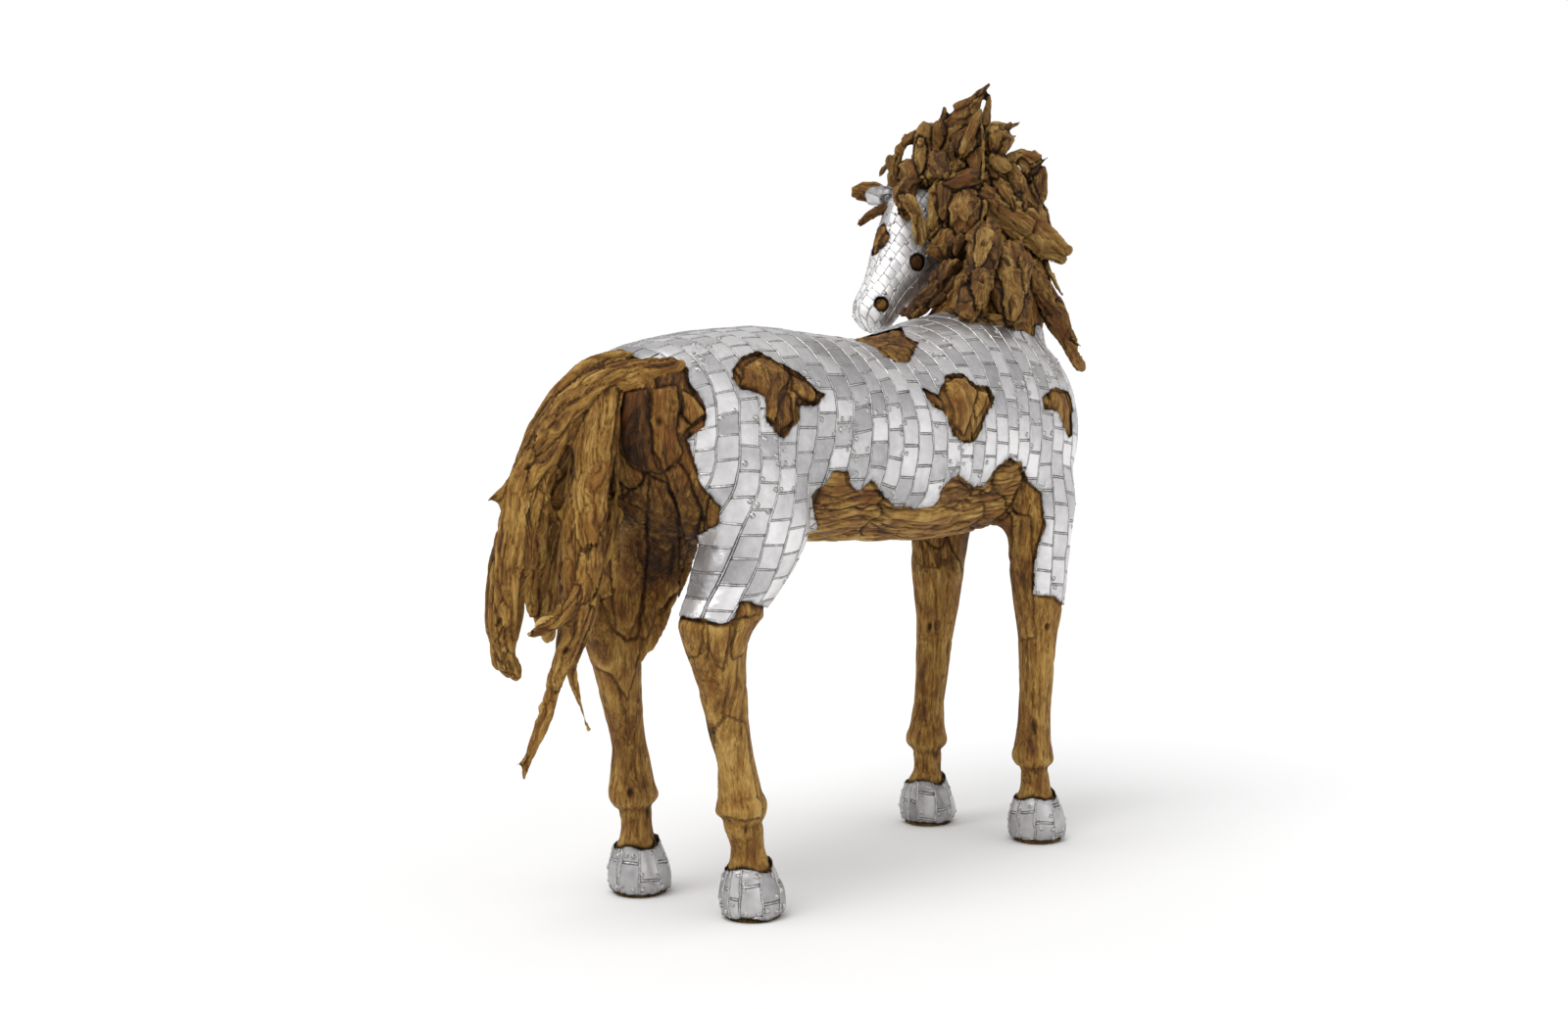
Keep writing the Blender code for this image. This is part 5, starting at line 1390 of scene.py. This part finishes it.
def photo_roots(table, tree, spread=0.16):
    """Long roots through pixels of the photo, lying on the pieces that the photo shows there."""
    made = []
    for number, (wide, line) in enumerate(table):
        ways, found = sighted(tree, line)
        steps = np.arange(len(line))
        known = [k for k in steps if found[k] is not None]
        if not known:
            continue
        middle = np.median([found[k] for k in known])
        known = [k for k in known if abs(found[k] - middle) < spread]
        reach = np.interp(steps, known, [found[k] for k in known])
        even = np.concatenate([reach[:1], reach, reach[-1:]])
        reach = 0.5 * reach + 0.25 * (even[:-2] + even[2:])
        points = [CAMERA + way * (r - 0.004) for way, r in zip(ways, reach)]
        made.append(chip(points, metres(wide, reach.mean()), 0.52, -ways[0], number + 60, 4.0,
                         0.0, 0.30))
    return made


def scattered_chips(tree, low, high, count, seed):
    """Chips hanging all round the mane, fewer on the side that the photo shows."""
    made = []
    middle = (np.array(low) + np.array(high)) / 2
    for k in range(count):
        turn = GOLDEN_TURN * k
        z = low[2] + (high[2] - low[2]) * (0.04 + 0.90 * hashed_one(k, 5, seed))
        way = Vector((-math.cos(turn), -math.sin(turn), 0))
        start = Vector((middle[0], middle[1], z)) - way * 1.5
        place, n, _, _ = tree.ray_cast(start, way)
        toward = way.dot(Vector(CAMERA_AHEAD))
        if place is None or toward > 0.0 or z > high[2] - 0.20:
            continue
        n = n if n.dot(way) < 0 else -n
        across = n.cross(Vector((0, 0, 1)))
        if across.length < 0.1:
            continue
        down = across.normalized().cross(n).normalized()
        down = down if down.z < 0 else -down
        down = (down + across.normalized() * (hashed_one(k, 7, seed) - 0.5) * 1.3).normalized()
        length = 0.07 + 0.09 * hashed_one(k, 8, seed)
        wide = length * (0.28 + 0.22 * hashed_one(k, 9, seed))
        a = place - down * length * 0.45 - n * 0.008
        b = place + down * length * 0.55 + n * (0.010 + 0.02 * hashed_one(k, 10, seed))
        made.append(chip((a, b), wide, 0.55, n, 100 + k))
    return made


def centre_line(points, own_axes):
    """How far a piece of root bends from its own straight axis, at steps along it."""
    middle, axes, half = own_axes
    local = (points - middle) @ axes
    steps = np.linspace(-half[0], half[0], 9)
    near = np.exp(-((local[:, :1] - steps) / (0.25 * half[0])) ** 2) + 1e-9
    return steps, (near.T @ local[:, 1:]) / near.sum(0)[:, None]


def closed(mesh, grid, reach):
    """The mesh with the creases narrower than twice the reach filled."""
    for way in (reach, -reach):
        p = eased(points_of(mesh), edges_of(mesh), 3)
        set_points(mesh, p)
        set_points(mesh, p + way * normals_of(mesh))
        mesh = remeshed(mesh, grid)
    return mesh


def joined_roots(name, sources, grid, crease):
    """Several roots as one skin, and which of them each of its points is on."""
    owners = np.repeat(np.arange(len(sources)), [len(source.polygons) for source in sources])
    bm = together(sources)
    tree = BVHTree.FromBMesh(bm)
    mesh = remeshed(mesh_from(bm, name), grid)
    if crease:
        mesh = closed(mesh, grid, crease)
    return mesh, owners[[tree.find_nearest(Vector(q))[2] for q in points_of(mesh)]]


def meeting_lines(owner, edges):
    """Near 1 where two roots meet, 0 away from there."""
    differ = (owner[edges[:, 0]] != owner[edges[:, 1]]).astype(float)
    border = np.zeros(len(owner))
    for end in (0, 1):
        np.maximum.at(border, edges[:, end], differ)
    return np.clip(1.6 * eased(border, edges, 2), 0, 1)


def unbent(p, owner, sources, frames):
    """Places on each root in its own axes, as if it were straight."""
    middles, axes = (np.array([found[k] for found in frames])[owner] for k in (0, 1))
    local = np.einsum("ni,nij->nj", p - middles, axes)
    for number, source in enumerate(sources):
        here = owner == number
        steps, bend = centre_line(points_of(source), frames[number])
        for c in (0, 1):
            local[here, c + 1] -= np.interp(local[here, 0], steps, bend[:, c])
    return local


def drawn_out(p, local, here, own_axes):
    """The points with the upper end of one root drawn out to a tip."""
    middle, axes, half = own_axes
    rise = (p[:, 2] - middle[2]) / (half[0] * abs(axes[2, 0]))
    thinner = 0.6 * ramp(rise, 0.30, 1.0) * here
    return p - thinner[:, None] * (local[:, 1:] @ axes[:, 1:].T)


def root_group(name, sources, replaced, finish, slot, grid, relief, seed, eases=5, wide=0.030,
               long=0.10, split=0.8, vary=0.6, lighter=0.0, joint=1.0, crease=0.0, tones=(),
               sharp=()):
    """Roots fitted against each other as one piece; each keeps its own grain and colour.

    relief is the depth of the carving, wide and long the size of its strands, split how much
    it is like split wood, vary and lighter set the colours, joint how much the joints show,
    crease how wide a crease is filled, tones and sharp name single roots."""
    mesh, owner = joined_roots(name, sources, grid, crease)
    frames = [own_frame(points_of(source)) for source in sources]
    halves = np.array([half for _, _, half in frames])[owner]
    edges = edges_of(mesh)
    border = meeting_lines(owner, edges)
    p = eased(points_of(mesh), edges, eases)
    local = unbent(p, owner, sources, frames)
    for number in sharp:
        p = drawn_out(p, local, owner == number, frames[number])
    set_points(mesh, p)
    n = normals_of(mesh)
    g = local + (owner * 7.31 + seed)[:, None] + 0.010 * bent(p / 0.045, seed)
    size = np.minimum(relief, 0.20 * (2 * halves[:, 2]))
    high, gap, own = strands(g, wide, long, 10 + seed)
    fine_high, fine_gap, fine_own = strands(g, 0.45 * wide, 0.8 * long, 20 + seed)
    lumps = fbm(g / (0.075, 0.045, 0.045), 3, 30 + seed)
    faces = facets(g / (0.075, 0.042, 0.042) + 0.25 * bent(g / 0.05, 33), 35 + seed)
    near, _, dice = cells(g / 0.062, 40 + seed)
    some = dice > 0.90 - 0.20 * joint
    knot = some * np.exp(-(near / 0.16) ** 2)
    ring = some * np.exp(-((near - 0.30) / 0.09) ** 2)
    end = ramp(abs(local[:, 0]) / halves[:, 0], 0.72, 1.0)
    d = size * ((1 - split) * (1.2 * (high - 0.5) + 0.8 * (own - 0.5) - 0.8 * gap
                               + 0.35 * (fine_high - 0.5) - 0.30 * fine_gap)
                + split * (1.5 * faces + 0.3 * (fine_own - 0.5)) + 0.8 * lumps - 0.9 * knot
                + 0.35 * ring + (0.15 + 0.7 * split) * end * fbm(p / 0.014, 2, 60 + seed)
                - 0.45 * joint * border)
    p = p + n * d[:, None]
    p = np.clip(p, np.array(CAD_BOX[0]) - 0.004, np.array(CAD_BOX[1]) + 0.004)
    set_points(mesh, p)
    # ridges lighter and hollows darker: partly edge wear, partly painted highlight and painted
    # shade
    wear_and_shade = ridges_and_hollows(p, normals_of(mesh), edges)
    tones = dict(tones)
    own_tone = np.array([tones.get(k, 0.0) for k in range(len(sources))])[owner]
    tone = (0.5 + lighter + own_tone + vary * (np.modf(owner * 0.618)[0] - 0.5)
            + 0.15 * (own - 0.5) + 0.40 * wear_and_shade)
    attribute(mesh, "grain", g)
    attribute(mesh, "tone", np.clip(tone, 0, 1.3))
    # the hollows of the lumps are darkened as painted shade; the rest is joints, gaps and knots
    attribute(mesh, "dark", np.clip(0.55 * joint * border + 0.12 * (1 - split) * gap + 0.9 * knot
                                    + 0.25 * ramp(-lumps, 0.1, 0.6) - 0.30 * wear_and_shade - 0.10, 0, 1))
    piece(name, mesh, [finish], slot, *replaced)


# Light, floor and camera.

def studio_world():
    """A pale studio round the horse: brighter to the camera's right, dimmer behind it."""
    world = bpy.data.worlds.new("studio")
    bpy.context.scene.world = world
    world.use_nodes = True
    tree = world.node_tree
    way = add(tree, "ShaderNodeTexCoord", {}).outputs["Generated"]
    level = 0.70
    for aim, low, high, gain in WORLD_PATCHES:
        facing = add(tree, "ShaderNodeVectorMath", {0: way, 1: Vector(aim).normalized()},
                     operation="DOT_PRODUCT").outputs["Value"]
        level = sums(tree, "ADD", smooth_step(tree, facing, low, high, 0.0, gain), level)
    level = weighed(tree, level, (cloudy(tree, way, 3.2, 1.0, 0.5), 0.9, 0.5))
    seen = add(tree, "ShaderNodeLightPath", {}).outputs["Is Camera Ray"]
    fill(tree, tree.nodes["Background"], {
        "Strength": sums(tree, "MAXIMUM", level, seen), "Color": (1, 1, 1, 1)})


def pale_floor():
    bm = bmesh.new()
    bmesh.ops.create_grid(bm, x_segments=1, y_segments=1, size=60.0)
    bmesh.ops.translate(bm, verts=bm.verts[:], vec=(0, 0, -0.0005))
    mesh = mesh_from(bm, "floor")
    m, tree, out = shader("pale_floor")
    fill(tree, out, {"Base Color": (0.92, 0.92, 0.92, 1), "Roughness": 0.9,
                     "Specular IOR Level": 0.0})
    mesh.materials.append(m)
    return link("floor", mesh)


def set_scene():
    studio_world()
    floor = pale_floor()
    lamp = bpy.data.lights.new("key", "SUN")
    lamp.energy = 1.5
    lamp.angle = math.radians(45)
    link("key", lamp).rotation_euler = LIGHT_WAY.to_track_quat("-Z", "Y").to_euler()
    lens = bpy.data.cameras.new("camera")
    lens.sensor_width = SENSOR
    lens.lens = CAMERA_LENS
    camera = link("camera", lens)
    turn = Matrix((RIGHT, UP, -AHEAD)).transposed()
    camera.matrix_world = Matrix.Translation(CAMERA_PLACE) @ turn.to_4x4()
    bpy.context.scene.camera = camera
    bpy.context.scene.view_settings.view_transform = "Standard"


def even_skin(mesh, grid, passes):
    """Points and triangles of a mesh on an even grid, eased."""
    mesh = remeshed(mesh, grid)
    return eased(points_of(mesh), edges_of(mesh), passes), triangles_of(mesh)


set_scene()
coarse = smooth_skin()
fine = make_body(coarse)
fine_skin = points_of(fine), triangles_of(fine)
plated("body_plates", ["body_cladding"], even_skin(coarse, SHEET_GRID, 3), body_cover,
       body_plates, ragged=0.0065, lift=SHEET_LIFT, bead=BEAD, pillow=0.0020, plate_size=0.066,
       seed=1)
plated("head_plates", ["head_cladding"], fine_skin, head_cover, head_plates, ragged=0.003,
       lift=0.0036, bead=0.0016, pillow=0.0012, plate_size=0.038, nail_share=0.035,
       nail_radius=0.0042, seed=2, finish=face_finish)
plated("hoof_plates", ["hoof_cladding_" + leg for leg in HOOVES], fine_skin, hoof_cover,
       hoof_plates, ragged=0.005, lift=0.0045, bead=0.0028, pillow=0.0026, plate_size=0.06,
       one_patch=False, nail_share=0.32, seed=3, dim=0.22, finish=hoof_finish)

mane_names = sorted(n for n in nodes if n.startswith("mane"))
tail_names = sorted(n for n in nodes if n.startswith("tail"))
mane = [node_mesh(n) for n in mane_names]
lows, highs = zip(*(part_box(n) for n in mane_names))
mane_low, mane_high = np.min(lows, 0).tolist(), np.max(highs, 0).tolist()
far = (CAMERA - (Vector(mane_low) + Vector(mane_high)) / 2).length
mane += photo_chips(MANE_CHIPS, tree_of(mane + [node_mesh("body")]), far)
mane += scattered_chips(tree_of(mane), mane_low, mane_high, 90, 1)
root_group("mane_wood", mane, mane_names, mane_finish, "mane_wood", ROOT_GRID, relief=0.0085,
           seed=1, tones={mane_names.index(n): t for n, t in MANE_TONES.items()},
           sharp=[mane_names.index(n) for n in MANE_SPIKES])
tail = [node_mesh(n) for n in tail_names]
tail += photo_roots(TAIL_ROOTS, tree_of(tail + [node_mesh("body")]))
root_group("tail_wood", tail, tail_names, body_finish, "root_wood", TAIL_GRID, relief=0.0050,
           seed=2, eases=7, long=0.60, split=0.0, vary=0.30, lighter=0.16, joint=0.22,
           crease=0.009)
root_group("ear_wood", [node_mesh("ear")], ["ear"], body_finish, "root_wood", EAR_GRID,
           relief=0.004, seed=3)
root_group("brow_wood", [node_mesh("brow_root")], ["brow_root"], body_finish, "root_wood",
           EAR_GRID, relief=0.005, seed=4)
plated("ear_plate", ["ear_patch"], even_skin(node_mesh("ear"), EAR_GRID, 5), ear_cover,
       head_plates, ragged=0.0015, lift=0.0045, bead=0.0014, pillow=0.0008, plate_size=0.03,
       nail_share=0.12, nail_radius=0.0036, seed=5)
